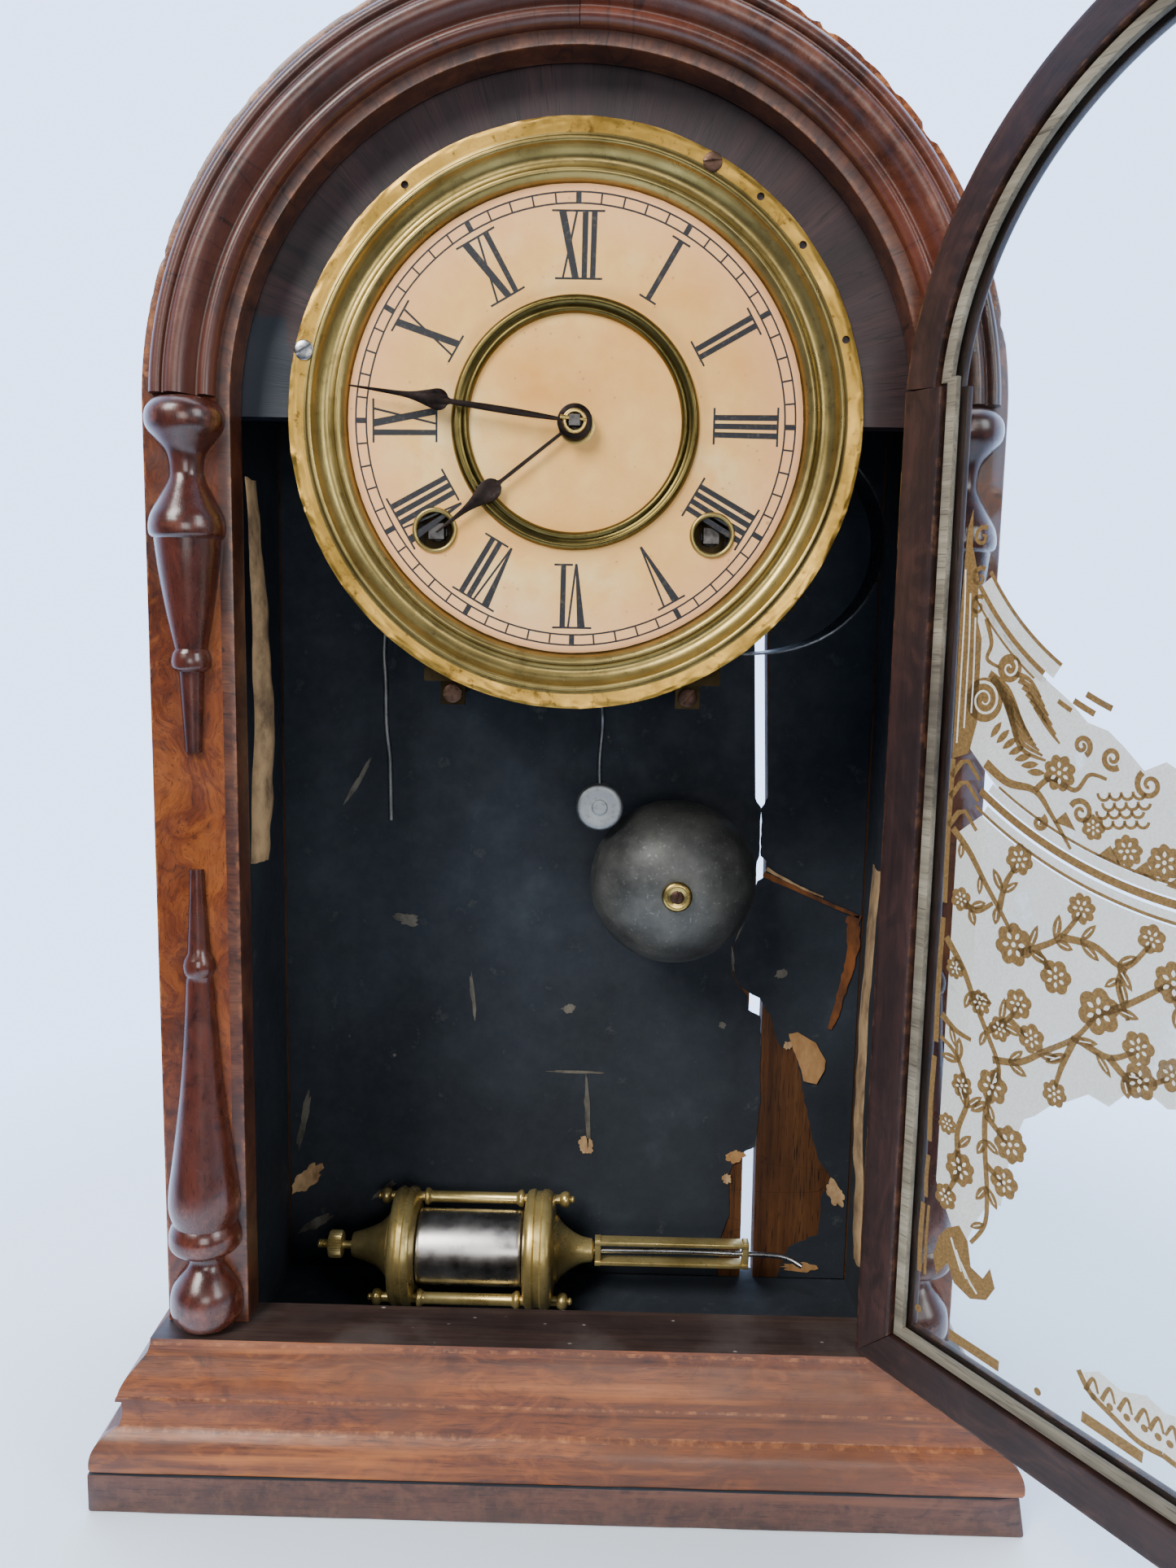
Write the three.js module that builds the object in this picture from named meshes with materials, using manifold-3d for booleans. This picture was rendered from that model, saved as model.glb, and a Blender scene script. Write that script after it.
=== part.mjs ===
// Round-top shelf clock: an arched veneered case with split columns, a hinged glazed door standing
// open, a brass dial pan with a paper dial, and an eight-day spring movement that strikes on a bell.
// Millimetres, +Z up. The front faces -Y. The origin is the middle of the base board's underside.

import * as THREE from 'three';
import { mergeVertices } from 'three/addons/utils/BufferGeometryUtils.js';
import Module from 'manifold-3d';

const wasm = await Module();
wasm.setup();

// ---------------------------------------------------------------- driving dimensions
const GAP = 0.3;                  // between neighbouring pieces
const DIAL_Z = 314.4;             // height of the hand arbor and centre of every arch
const BASE_HALF = 135.6;          // half width of the base board
const BASE_FRONT = -61.5;
const BASE_BACK = 61.5;
const BASE_TOP = 12.1;            // the case floor
const SILL_TOP = 48.9;            // top of the base moulding
const SILL_HALF = 119.4;
const SILL_FRONT = -51.9;
const FRAME_FRONT = -42.8;        // face of the front frame
const FRAME_BACK = -31.9;
const FRAME_HALF = 117.06;        // half width and outer radius of the front frame
const OPENING_HALF = 93.06;       // half width and radius of the door opening
const HOOP_INNER = 106;
const BACK_BOARD_FRONT = 53.5;
const COLUMN_X = 105.06;

const PAN_RADIUS = 80;
const PAN_FRONT = -32.5;
const PAPER_RADIUS = 64.2;
const PAPER_FRONT = -28.1;
const WINDING_X = 39.5;
const WINDING_Z = 284.3;

const HINGE_X = 93.6;             // door hinge pin
const HINGE_Y = -44.6;
const DOOR_OPEN_DEGREES = 123.2;  // how far the door stands open
const DOOR_HALF = 91.3;           // half width and arch radius of the door
const DOOR_FRONT = -43.7;         // door faces, with the door shut
const DOOR_BACK = -34.5;
const DOOR_BOTTOM = 51;
const STILE_INNER = 79.2;         // where the full thickness of the door stiles ends
const ARCH_INNER = 81.4;
const RAIL_INNER = 62.2;
const STILE_TOP = 320;            // joint between the stiles and the arch
const LIP_REACH = 4.4;            // how far the front lip covers the glass edge
const LIP_BACK = -40.2;
const GLASS_FRONT = -40;
const GLASS_BACK = -38;
const SIGHT = 3.6;                // width of the bead that holds the glass
const LATCH_X = -85.5;
const LATCH_Z = 190;
const LATCH_SHAFT = 1.6;
const KNUCKLE_RADIUS = 1.4;
const LEAF_HEIGHT = 20;
const HINGE_BOTTOMS = { lower: 95, upper: 280 };

const PLATE_FRONT = -18.5;        // movement plates
const PLATE_BACK = 17.5;
const PLATE_THICKNESS = 1.5;
const PLATE_HALF = 44;
const PLATE_BOTTOM = 241;
const PLATE_TOP = 358;

const BELL_X = 34.8;
const BELL_Z = 171;
const BELL_RADIUS = 28.6;
const HAMMER_X = 9;
const HAMMER_PIVOT_Z = 255;
const HAMMER_HEAD_Z = 198;
const HAMMER_HEAD_RADIUS = 7.9;
const HAMMER_Y = 21.5;

const BOB_Y = 32.5;               // pendulum bob lying on the case floor, along X
const BOB_Z = 33.2;
const BOB_CAP_RADIUS = 20.8;
const BOB_COLUMN_OFFSET = [10.7, 13.8];

// ---------------------------------------------------------------- solids from three.js geometry
function toSolid(geometry) {
  const bare = geometry.index ? geometry.toNonIndexed() : geometry.clone();
  bare.deleteAttribute('normal');
  bare.deleteAttribute('uv');
  const merged = mergeVertices(bare, 1e-4);
  const place = merged.attributes.position;
  const corners = [];
  let volume = 0;
  const a = new THREE.Vector3();
  const b = new THREE.Vector3();
  const c = new THREE.Vector3();
  for (let i = 0; i < merged.index.count; i += 3) {
    const [p, q, r] = [0, 1, 2].map((k) => merged.index.getX(i + k));
    if (p === q || q === r || p === r) continue;
    corners.push(p, q, r);
    a.fromBufferAttribute(place, p);
    b.fromBufferAttribute(place, q);
    c.fromBufferAttribute(place, r);
    volume += a.dot(b.cross(c)) / 6;
  }
  if (volume < 0) {
    for (let i = 0; i < corners.length; i += 3) {
      [corners[i + 1], corners[i + 2]] = [corners[i + 2], corners[i + 1]];
    }
  }
  const vertProperties = new Float32Array(place.array);
  return new wasm.Manifold(new wasm.Mesh({ numProp: 3, vertProperties, triVerts: new Uint32Array(corners) }));
}

function toGeometry(solid) {
  const data = solid.getMesh();
  const geometry = new THREE.BufferGeometry();
  geometry.setAttribute('position', new THREE.BufferAttribute(new Float32Array(data.vertProperties), 3));
  geometry.setIndex(new THREE.BufferAttribute(new Uint32Array(data.triVerts), 1));
  geometry.computeVertexNormals();
  return geometry;
}

const join = (...solids) => solids.reduce((whole, piece) => whole.add(piece));
const cut = (solid, ...tools) => tools.reduce((whole, tool) => whole.subtract(tool), solid);

function box([x0, x1], [y0, y1], [z0, z1]) {
  const geometry = new THREE.BoxGeometry(x1 - x0, y1 - y0, z1 - z0);
  geometry.translate((x0 + x1) / 2, (y0 + y1) / 2, (z0 + z1) / 2);
  return toSolid(geometry);
}

const points = (pairs) => pairs.map(([x, y]) => new THREE.Vector2(x, y));

// a flat piece seen from the front: the shape's x and y become X and Z
function panel(shape, y0, y1, curveSegments = 12) {
  const geometry = new THREE.ExtrudeGeometry(shape, { depth: y1 - y0, bevelEnabled: false, curveSegments });
  geometry.rotateX(Math.PI / 2);
  geometry.translate(0, y1, 0);
  return toSolid(geometry);
}

// an upright prism: the shape's x and y stay X and Y
function uprightPrism(pairs, z0, z1) {
  const shape = new THREE.Shape(points(pairs));
  const geometry = new THREE.ExtrudeGeometry(shape, { depth: z1 - z0, bevelEnabled: false });
  geometry.translate(0, 0, z0);
  return toSolid(geometry);
}

// a bar along X: the pairs are Y and Z
function barAlongX(pairs, x0, x1) {
  const shape = new THREE.Shape(points(pairs));
  const geometry = new THREE.ExtrudeGeometry(shape, { depth: x1 - x0, bevelEnabled: false });
  geometry.rotateZ(Math.PI / 2);
  geometry.rotateY(Math.PI / 2);
  geometry.translate(x0, 0, 0);
  return toSolid(geometry);
}

// turned about an axis parallel to Y: the pairs are radius and Y
function turnedY(pairs, x, z, segments = 24) {
  const geometry = new THREE.LatheGeometry(points(pairs), segments);
  geometry.translate(x, 0, z);
  return toSolid(geometry);
}

// turned about an axis parallel to Z: the pairs are radius and Z
function turnedZ(pairs, x, y, segments = 24) {
  const geometry = new THREE.LatheGeometry(points(pairs), segments);
  geometry.rotateX(Math.PI / 2);
  geometry.translate(x, y, 0);
  return toSolid(geometry);
}

// turned about an axis parallel to X: the pairs are radius and X
function turnedX(pairs, y, z, segments = 20) {
  const geometry = new THREE.LatheGeometry(points(pairs), segments);
  geometry.rotateZ(-Math.PI / 2);
  geometry.translate(0, y, z);
  return toSolid(geometry);
}

const cylinder = (turn, radius, low, high, u, v, segments) =>
  turn([[0, low], [radius, low], [radius, high], [0, high]], u, v, segments);
const pinY = (x, z, radius, y0, y1, segments = 12) => cylinder(turnedY, radius, y0, y1, x, z, segments);

function wire(route, radius, steps, sides = 6) {
  const path = new THREE.CatmullRomCurve3(route.map((p) => new THREE.Vector3(...p)), false, 'centripetal');
  const section = new THREE.Shape();
  section.absarc(0, 0, radius, 0, Math.PI * 2);
  const options = { steps, extrudePath: path, curveSegments: sides / 2, bevelEnabled: false };
  return toSolid(new THREE.ExtrudeGeometry(section, options));
}

// ---------------------------------------------------------------- materials and the scene graph
const material = (color, roughness, metalness) => new THREE.MeshStandardMaterial({ color, roughness, metalness });
const MATERIALS = {
  walnut: material(0x4a2416, 0.45, 0),
  veneer: material(0x7a3a1c, 0.4, 0),
  darkWood: material(0x2a1512, 0.55, 0),
  lining: material(0x101418, 0.9, 0),
  brass: material(0xa8853c, 0.35, 0.9),
  paper: material(0xe6c9a0, 0.85, 0),
  bluedSteel: material(0x22232b, 0.35, 0.8),
  steel: material(0x8b8c8e, 0.35, 0.9),
  darkSteel: material(0x3c3f44, 0.45, 0.8),
  silvered: material(0xcfd0cf, 0.2, 0.9),
  glass: material(0xcfdedb, 0.05, 0),
};

const clock = new THREE.Group();
const door = new THREE.Group();
door.position.set(HINGE_X, HINGE_Y, 0);
door.rotation.z = THREE.MathUtils.degToRad(DOOR_OPEN_DEGREES);
clock.add(door);

function addPiece(name, solid, finish, parent = clock) {
  const geometry = toGeometry(solid);
  if (parent === door) geometry.translate(-HINGE_X, -HINGE_Y, 0);
  const mesh = new THREE.Mesh(geometry, finish);
  mesh.name = name;
  parent.add(mesh);
}

// ---------------------------------------------------------------- arched outlines
// an outline with upright sides and a round top
function archedShape(half, bottom, springing = DIAL_Z, radius = half) {
  const shape = new THREE.Shape();
  const start = Math.asin((springing - DIAL_Z) / radius);
  shape.moveTo(half, bottom);
  shape.lineTo(half, springing);
  shape.absarc(0, DIAL_Z, radius, start, Math.PI - start, false);
  shape.lineTo(-half, springing);
  shape.lineTo(-half, bottom);
  return shape;
}

// an upside-down U: upright sides and an arch, open at the bottom
function hoopShape(outer, inner, bottom) {
  const shape = new THREE.Shape();
  shape.moveTo(outer, bottom);
  shape.lineTo(outer, DIAL_Z);
  shape.absarc(0, DIAL_Z, outer, 0, Math.PI, false);
  shape.lineTo(-outer, bottom);
  shape.lineTo(-inner, bottom);
  shape.absarc(0, DIAL_Z, inner, Math.PI, 0, true);
  shape.lineTo(inner, bottom);
  return shape;
}

const ARCH_SEGMENTS = 20;
const upperHalf = box([-200, 200], [-100, 100], [DIAL_Z, 500]);

// ---------------------------------------------------------------- case
function buildBase() {
  addPiece('base_board', box([-BASE_HALF, BASE_HALF], [BASE_FRONT, BASE_BACK], [0, BASE_TOP - GAP / 2]),
    MATERIALS.walnut);
  // profile of the moulding: spread outwards (0 at the sill, 1 at the base board) against height
  const profile = [
    [0, SILL_TOP], [0.02, 47.6], [0.12, 45.4], [0.3, 41.2], [0.42, 37.4], [0.47, 33.6], [0.52, 32.4],
    [0.52, 30.6], [0.49, 29.4], [0.52, 26.4], [0.62, 23.4], [0.8, 20.6], [0.9, 17.8], [0.95, 14.6],
    [0.97, BASE_TOP + GAP / 2],
  ];
  const ring = profile.map(([spread, z]) => [
    SILL_HALF + spread * (BASE_HALF - SILL_HALF), SILL_FRONT + spread * (BASE_FRONT - SILL_FRONT), z,
  ]);
  // each height of the profile is one flat outline of the front and its two returns
  const inner = FRAME_HALF + GAP;
  const back = BASE_BACK;
  const outlines = ring.map(([half, front, z]) => [
    [inner, FRAME_BACK], [-inner, FRAME_BACK], [-inner, back], [-half, back], [-half, front],
    [half, front], [half, back], [inner, back],
  ].map(([x, y]) => [x, y, z]));
  const positions = outlines.flat(2);
  const count = outlines[0].length;
  const faces = [];
  for (let level = 0; level + 1 < outlines.length; level += 1) {
    for (let i = 0; i < count; i += 1) {
      const j = (i + 1) % count;
      const [p, q] = [level * count + i, level * count + j];
      faces.push(p + count, q + count, q, p + count, q, p);
    }
  }
  const cap = THREE.ShapeUtils.triangulateShape(outlines[0].map(([x, y]) => new THREE.Vector2(x, y)), []);
  const last = (outlines.length - 1) * count;
  for (const [p, q, r] of cap) {
    faces.push(p, q, r, last + r, last + q, last + p);
  }
  const geometry = new THREE.BufferGeometry();
  geometry.setAttribute('position', new THREE.Float32BufferAttribute(positions, 3));
  geometry.setIndex(faces);
  addPiece('base_moulding', toSolid(geometry), MATERIALS.veneer);
}

function buildCaseShell() {
  const hoop = hoopShape(FRAME_HALF - 0.3, HOOP_INNER, BASE_TOP + GAP);
  addPiece('case_hoop', panel(hoop, FRAME_BACK + GAP, BACK_BOARD_FRONT - GAP, ARCH_SEGMENTS), MATERIALS.walnut);
  const back = archedShape(FRAME_HALF - 1, BASE_TOP + GAP);
  addPiece('back_board', panel(back, BACK_BOARD_FRONT, BASE_BACK, ARCH_SEGMENTS), MATERIALS.lining);
  const frame = hoopShape(FRAME_HALF, OPENING_HALF, SILL_TOP + GAP);
  addPiece('front_frame', panel(frame, FRAME_FRONT, FRAME_BACK, ARCH_SEGMENTS), MATERIALS.veneer);
  // an arched board with a round hole for the dial pan, cut off level with the hand arbor
  const board = new THREE.Shape();
  board.absarc(0, DIAL_Z, HOOP_INNER - 0.5, 0, Math.PI, false);
  board.absarc(0, DIAL_Z, 75.4, Math.PI, 0, true);
  addPiece('dial_board', panel(board, FRAME_BACK + GAP, -24, ARCH_SEGMENTS), MATERIALS.darkWood);
}

function buildArchMoulding() {
  const seat = FRAME_FRONT - GAP;
  // radius against Y, from the outer fillet over the bead and cove to the inner torus
  const profile = [
    [114.2, seat], [114.2, -45.2], [112.6, -48], [110.4, -47.6], [109.6, -46.6], [107, -49.2],
    [104, -48.6], [102, -44.8], [100.4, -46.6], [97.6, -46.2], [96.8, seat], [114.2, seat],
  ];
  const springing = box([-200, 200], [-100, 100], [DIAL_Z + 3.4, 500]);
  const arch = turnedY(profile, 0, DIAL_Z, ARCH_SEGMENTS * 2).intersect(springing);
  addPiece('arch_moulding', arch, MATERIALS.walnut);
}

function buildColumns() {
  // radius against height; each is a half turning glued to the stile
  const upper = [
    [0, 221], [2.2, 221], [3.6, 243], [5.4, 245.2], [5.4, 248.2], [4.6, 249.6], [9, 280.2], [10.2, 281.4],
    [10.2, 284.6], [9.3, 288], [4.5, 296.4], [5.4, 302], [10.6, 310], [10.4, 313.6], [6.4, 317], [0, 317],
  ];
  const lower = [
    [0, SILL_TOP + GAP], [7.6, SILL_TOP + GAP], [10.2, 52.6], [10.7, 57.2], [9.6, 62.6], [7.2, 66.2],
    [5, 70], [5.6, 73], [10.2, 74.4], [10.7, 77.4], [10.4, 80.6], [9.4, 82], [10.5, 88], [8.8, 102],
    [6.2, 124], [4, 156.6], [4.5, 158.4], [4.4, 161], [3.2, 163.2], [2, 187.6], [0, 187.6],
  ];
  const frontHalf = box([-200, 200], [-100, FRAME_FRONT - GAP], [0, 500]);
  for (const [side, x] of [['left', -COLUMN_X], ['right', COLUMN_X]]) {
    for (const [level, profile] of [['upper', upper], ['lower', lower]]) {
      const turning = turnedZ(profile, x, FRAME_FRONT, 12).intersect(frontHalf);
      addPiece(`column_${level}_${side}`, turning, MATERIALS.walnut);
    }
  }
}

// ---------------------------------------------------------------- door, drawn shut
function lippedSection(outer, inner) {
  const lip = inner - LIP_REACH;
  return [[outer, DOOR_FRONT], [outer, DOOR_BACK], [inner, DOOR_BACK], [inner, LIP_BACK], [lip, LIP_BACK],
    [lip, DOOR_FRONT]];
}

function buildDoorFrame() {
  const archSection = lippedSection(DOOR_HALF, ARCH_INNER);
  const aboveStiles = box([-200, 200], [-100, 100], [STILE_TOP + GAP / 2, 500]);
  const ring = turnedY([...archSection, archSection[0]], 0, DIAL_Z, ARCH_SEGMENTS * 2);
  addPiece('door_arch', ring.intersect(aboveStiles), MATERIALS.darkWood, door);

  // the mitre runs from the outer corner of the door to the inner corner of the glass opening
  const slope = (DOOR_HALF - STILE_INNER) / (RAIL_INNER - DOOR_BOTTOM);
  const reach = 40;
  const mitre = (side, shift) => {
    const shape = new THREE.Shape(points([
      [side * (DOOR_HALF + slope * 10), DOOR_BOTTOM - 10 + shift],
      [side * (DOOR_HALF - slope * reach), DOOR_BOTTOM + reach + shift],
      [side * (DOOR_HALF - slope * reach), DOOR_BOTTOM - 10 + shift],
    ]));
    return panel(shape, -60, 0);
  };
  for (const [name, side] of [['door_stile_hinge', 1], ['door_stile_latch', -1]]) {
    const section = lippedSection(DOOR_HALF, STILE_INNER).map(([x, y]) => [side * x, y]);
    let stile = uprightPrism(section, DOOR_BOTTOM, STILE_TOP - GAP / 2);
    stile = cut(stile, mitre(side, GAP / 2));
    if (side < 0) stile = cut(stile, pinY(LATCH_X, LATCH_Z, LATCH_SHAFT + 0.25, -60, 0, 16));
    addPiece(name, stile, MATERIALS.darkWood, door);
  }
  const railLip = RAIL_INNER + LIP_REACH - 0.3;
  const railSection = [[DOOR_FRONT, DOOR_BOTTOM], [DOOR_BACK, DOOR_BOTTOM], [DOOR_BACK, RAIL_INNER],
    [LIP_BACK, RAIL_INNER], [LIP_BACK, railLip], [DOOR_FRONT, railLip]];
  const halfRail = (side) => {
    const run = side > 0 ? [0, DOOR_HALF] : [-DOOR_HALF, 0];
    return barAlongX(railSection, ...run).intersect(mitre(side, -GAP / 2).add(
      box([Math.min(0, side * 60), Math.max(0, side * 60)], [-60, 0], [0, 100])));
  };
  addPiece('door_rail', join(halfRail(1), halfRail(-1)), MATERIALS.darkWood, door);
}

function buildGlazing() {
  const rebate = () => archedShape(STILE_INNER - 0.5, RAIL_INNER + 0.5, STILE_TOP + 0.6, ARCH_INNER - 0.5);
  addPiece('door_glass', panel(rebate(), GLASS_FRONT, GLASS_BACK, ARCH_SEGMENTS), MATERIALS.glass, door);
  const bead = rebate();
  const opening = archedShape(STILE_INNER - SIGHT, RAIL_INNER + SIGHT, STILE_TOP + 2, ARCH_INNER - SIGHT);
  bead.holes.push(opening);
  addPiece('glass_bead', panel(bead, GLASS_BACK + 0.2, -35.8, ARCH_SEGMENTS), MATERIALS.darkWood, door);
}

// turn catch: a knob in front, a shaft through the stile and a tongue that turns behind the frame
function buildLatch() {
  const knob = turnedY([
    [0, -55], [3.6, -54.4], [4.6, -52.4], [3.8, -50.2], [2, -48.6], [2, -46], [4.4, -45.2],
    [4.4, DOOR_FRONT - GAP], [LATCH_SHAFT, DOOR_FRONT - GAP], [LATCH_SHAFT, -29.2], [0, -29.2],
  ], LATCH_X, LATCH_Z, 10);
  const tongue = box([LATCH_X - 2.4, LATCH_X + 2.4], [-31.3, -30], [LATCH_Z - 11, LATCH_Z + 3]);
  addPiece('latch_knob', join(knob, tongue), MATERIALS.brass, door);
}

// ---------------------------------------------------------------- hinges
function buildHinges() {
  const third = LEAF_HEIGHT / 3;
  const clearance = 0.15;
  for (const [level, bottom] of Object.entries(HINGE_BOTTOMS)) {
    const top = bottom + LEAF_HEIGHT;
    const low = bottom + third;
    const high = top - third;
    const knuckle = (z0, z1) => cylinder(turnedZ, KNUCKLE_RADIUS, z0, z1, HINGE_X, HINGE_Y, 12);
    const casePlate = box([92.25, 92.95], [-42.4, -34.4], [bottom, top]);
    const caseArm = (z0, z1) => join(box([92.25, 92.95], [HINGE_Y, -42], [z0, z1]), knuckle(z0, z1));
    addPiece(`hinge_leaf_case_${level}`,
      join(casePlate, caseArm(bottom, low - clearance), caseArm(high + clearance, top)), MATERIALS.brass);
    const doorPlate = box([91.4, 92.05], [-43.9, -35.4], [bottom, top]);
    const doorArm = join(box([91.4, 92.05], [-45.2, -43.5], [low, high]),
      box([91.4, HINGE_X], [-45.2, -44.2], [low, high]), knuckle(low, high));
    addPiece(`hinge_leaf_door_${level}`, join(doorPlate, doorArm), MATERIALS.brass, door);
  }
}

// ---------------------------------------------------------------- dial
function buildDial() {
  const pan = turnedY([
    [4.4, -27.5], [64.4, -27.5], [66.4, -30.2], [67.4, -30.2], [70.6, -29.9], [73.8, -32.8],
    [75.6, PAN_FRONT], [PAN_RADIUS, PAN_FRONT], [PAN_RADIUS, -31.95], [75.1, -31.95], [70.9, -29.2],
    [66, -28], [65.2, -26.9], [4.4, -26.9], [4.4, -27.5],
  ], 0, DIAL_Z, 30);
  const windingHole = (x, radius) => pinY(x, WINDING_Z, radius, -40, -20, 14);
  addPiece('dial_pan', cut(pan, windingHole(-WINDING_X, 5.9), windingHole(WINDING_X, 5.9)), MATERIALS.brass);
  const paper = turnedY([
    [4.2, PAPER_FRONT], [PAPER_RADIUS, PAPER_FRONT], [PAPER_RADIUS, -27.75], [4.2, -27.75], [4.2, PAPER_FRONT],
  ], 0, DIAL_Z, 32);
  addPiece('dial_paper', cut(paper, windingHole(-WINDING_X, 5.9), windingHole(WINDING_X, 5.9)), MATERIALS.paper);
  const ring = turnedY([
    [29.9, -28.3], [31, -29.7], [34, -29.6], [35, -28.3], [29.9, -28.3],
  ], 0, DIAL_Z, 28);
  addPiece('dial_inner_ring', ring, MATERIALS.brass);
  for (const [side, x] of [['left', -WINDING_X], ['right', WINDING_X]]) {
    const eyelet = turnedY([
      [5, -28.9], [6.4, -28.9], [6.4, -28.3], [5.6, -28.3], [5.6, -26.2], [5, -26.2], [5, -28.9],
    ], x, WINDING_Z, 14);
    addPiece(`winding_eyelet_${side}`, eyelet, MATERIALS.brass);
  }
}

// ---------------------------------------------------------------- hands
// a pear-shaped hand drawn pointing up, then swung clockwise from twelve
function handSolid(halfWidths, hubRadius, holeRadius, clockwiseDegrees, y0, y1) {
  const right = halfWidths.map(([reach, half]) => [half, reach]);
  const left = [...halfWidths].reverse().map(([reach, half]) => [-half, reach]);
  const blade = new THREE.Shape(points([...right, ...left]));
  const swing = THREE.MathUtils.degToRad(clockwiseDegrees);
  const place = (shape, segments) => {
    const geometry = new THREE.ExtrudeGeometry(shape, {
      depth: y1 - y0, bevelEnabled: false, curveSegments: segments,
    });
    geometry.rotateX(Math.PI / 2);
    geometry.rotateY(swing);
    geometry.translate(0, y1, DIAL_Z);
    return toSolid(geometry);
  };
  const hub = new THREE.Shape();
  hub.absarc(0, 0, hubRadius, 0, Math.PI * 2);
  return cut(join(place(blade), place(hub, 7)), pinY(0, DIAL_Z, holeRadius, -60, 0, 12));
}

function buildHands() {
  const minute = [[3.6, 0.6], [22, 0.8], [34.6, 1.2], [36.4, 1.6], [38, 2.8], [39.6, 3.2], [42, 2.6],
    [46, 1.3], [50, 0.8], [63.5, 0.25]];
  const hour = [[3.6, 0.6], [20, 0.9], [28, 1.2], [29.6, 2.6], [31.6, 3.7], [34, 3.2], [37, 1.8], [40, 0.9],
    [49.5, 0.3]];
  addPiece('minute_hand', handSolid(minute, 4.9, 2.4, 277.9, -33, -32.4), MATERIALS.bluedSteel);
  addPiece('hour_hand', handSolid(hour, 4.9, 3.5, 231.5, -31, -30.4), MATERIALS.bluedSteel);
  const washer = turnedY([[2.4, -34], [3.4, -34], [3.4, -33.3], [2.4, -33.3], [2.4, -34]], 0, DIAL_Z, 14);
  addPiece('hand_washer', washer, MATERIALS.brass);
}

// ---------------------------------------------------------------- wheels
// triangular teeth around a pitch circle; toothAngle is where one tooth points, anticlockwise from +X
function toothedOutline(teeth, pitchRadius, toothAngle) {
  const toothSize = (2 * pitchRadius) / teeth;
  const tip = pitchRadius + 0.7 * toothSize;
  const root = pitchRadius - 1.3 * toothSize;
  const outline = [];
  for (let i = 0; i < teeth; i += 1) {
    for (const [half, radius] of [[0, tip], [0.5, root]]) {
      const angle = toothAngle + ((i + half) * 2 * Math.PI) / teeth;
      outline.push(new THREE.Vector2(radius * Math.cos(angle), radius * Math.sin(angle)));
    }
  }
  return outline;
}

function spokeWindows(count, innerRadius, outerRadius, spokeHalf) {
  return Array.from({ length: count }, (unused, i) => {
    const start = (i * 2 * Math.PI) / count;
    const end = ((i + 1) * 2 * Math.PI) / count;
    const window = new THREE.Path();
    const outerInset = spokeHalf / outerRadius;
    const innerInset = spokeHalf / innerRadius;
    window.absarc(0, 0, outerRadius, start + outerInset, end - outerInset, false);
    window.absarc(0, 0, innerRadius, end - innerInset, start + innerInset, true);
    return window;
  });
}

function wheelSolid({ x, z, teeth, pitch, angle, y0, y1, spokes = 4, windowInner, windowOuter }) {
  const shape = new THREE.Shape(toothedOutline(teeth, pitch, angle));
  if (windowOuter) shape.holes.push(...spokeWindows(spokes, windowInner, windowOuter, 1.3));
  const geometry = new THREE.ExtrudeGeometry(shape, { depth: y1 - y0, bevelEnabled: false, curveSegments: 2 });
  geometry.rotateX(Math.PI / 2);
  geometry.translate(x, y1, z);
  return toSolid(geometry);
}

// the angle of a driven gear's tooth that drops into a gap of the gear it meets
function meshAngle(from, to) {
  const line = Math.atan2(to.z - from.z, to.x - from.x);
  const lead = from.angle - line;
  return line + Math.PI + Math.PI / to.teeth - (lead * from.teeth) / to.teeth;
}

function pitchRadii(first, second, distance) {
  const share = distance / (first + second);
  return [first * share, second * share];
}

const distanceBetween = (p, q) => Math.hypot(p.x - q.x, p.z - q.z);

// where two circles about p and q cross, on the lower side
function crossing(p, radiusP, q, radiusQ) {
  const span = distanceBetween(p, q);
  const along = (radiusP ** 2 - radiusQ ** 2 + span ** 2) / (2 * span);
  const aside = Math.sqrt(radiusP ** 2 - along ** 2);
  const [ux, uz] = [(q.x - p.x) / span, (q.z - p.z) / span];
  return { x: p.x + ux * along + uz * aside, z: p.z + uz * along - ux * aside };
}

const ARBOR = { front: PLATE_FRONT + PLATE_THICKNESS + GAP, back: PLATE_BACK - GAP };
const PIVOT_RADIUS = 0.7;
const PIVOT_HOLE = 1;
function arborSolid({ x, z }, radius) {
  return join(pinY(x, z, radius, ARBOR.front, ARBOR.back, 6),
    pinY(x, z, PIVOT_RADIUS, PLATE_FRONT + 0.2, PLATE_BACK + PLATE_THICKNESS - 0.2, 6));
}

// ---------------------------------------------------------------- train layout
const CENTRE = { x: 0, z: DIAL_Z };
const TIME_MAIN = { x: WINDING_X, z: WINDING_Z };
const STRIKE_MAIN = { x: -WINDING_X, z: WINDING_Z };
const SECOND = { x: 30, z: 320 };
const THIRD = { x: 22.5, z: 342.5 };
const ESCAPE = { x: 0, z: 332.5 };
const FOURTH = crossing(ESCAPE, 11, THIRD, 15.5);
const VERGE = { x: 0, z: 348.5 };
const FLY = { x: -THIRD.x, z: THIRD.z };
const STRIKE_SECOND = { x: -SECOND.x, z: SECOND.z };
const MOTION_STUD = { x: 18, z: DIAL_Z };
const HAMMER_ARBOR = { x: HAMMER_X, z: HAMMER_PIVOT_Z };
const TRIP_ARBOR = { x: -12, z: 250 };

const TEETH = { great: 48, second: 36, centre: 18, third: 36, fourth: 36, escape: 30, leaves: 6 };
const LAYER = { great: [-13.5, -11.9], pin: [10, 11], second: [12, 13.2], third: [-13.6, -12.6], fourth: [-10, -9] };

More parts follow.
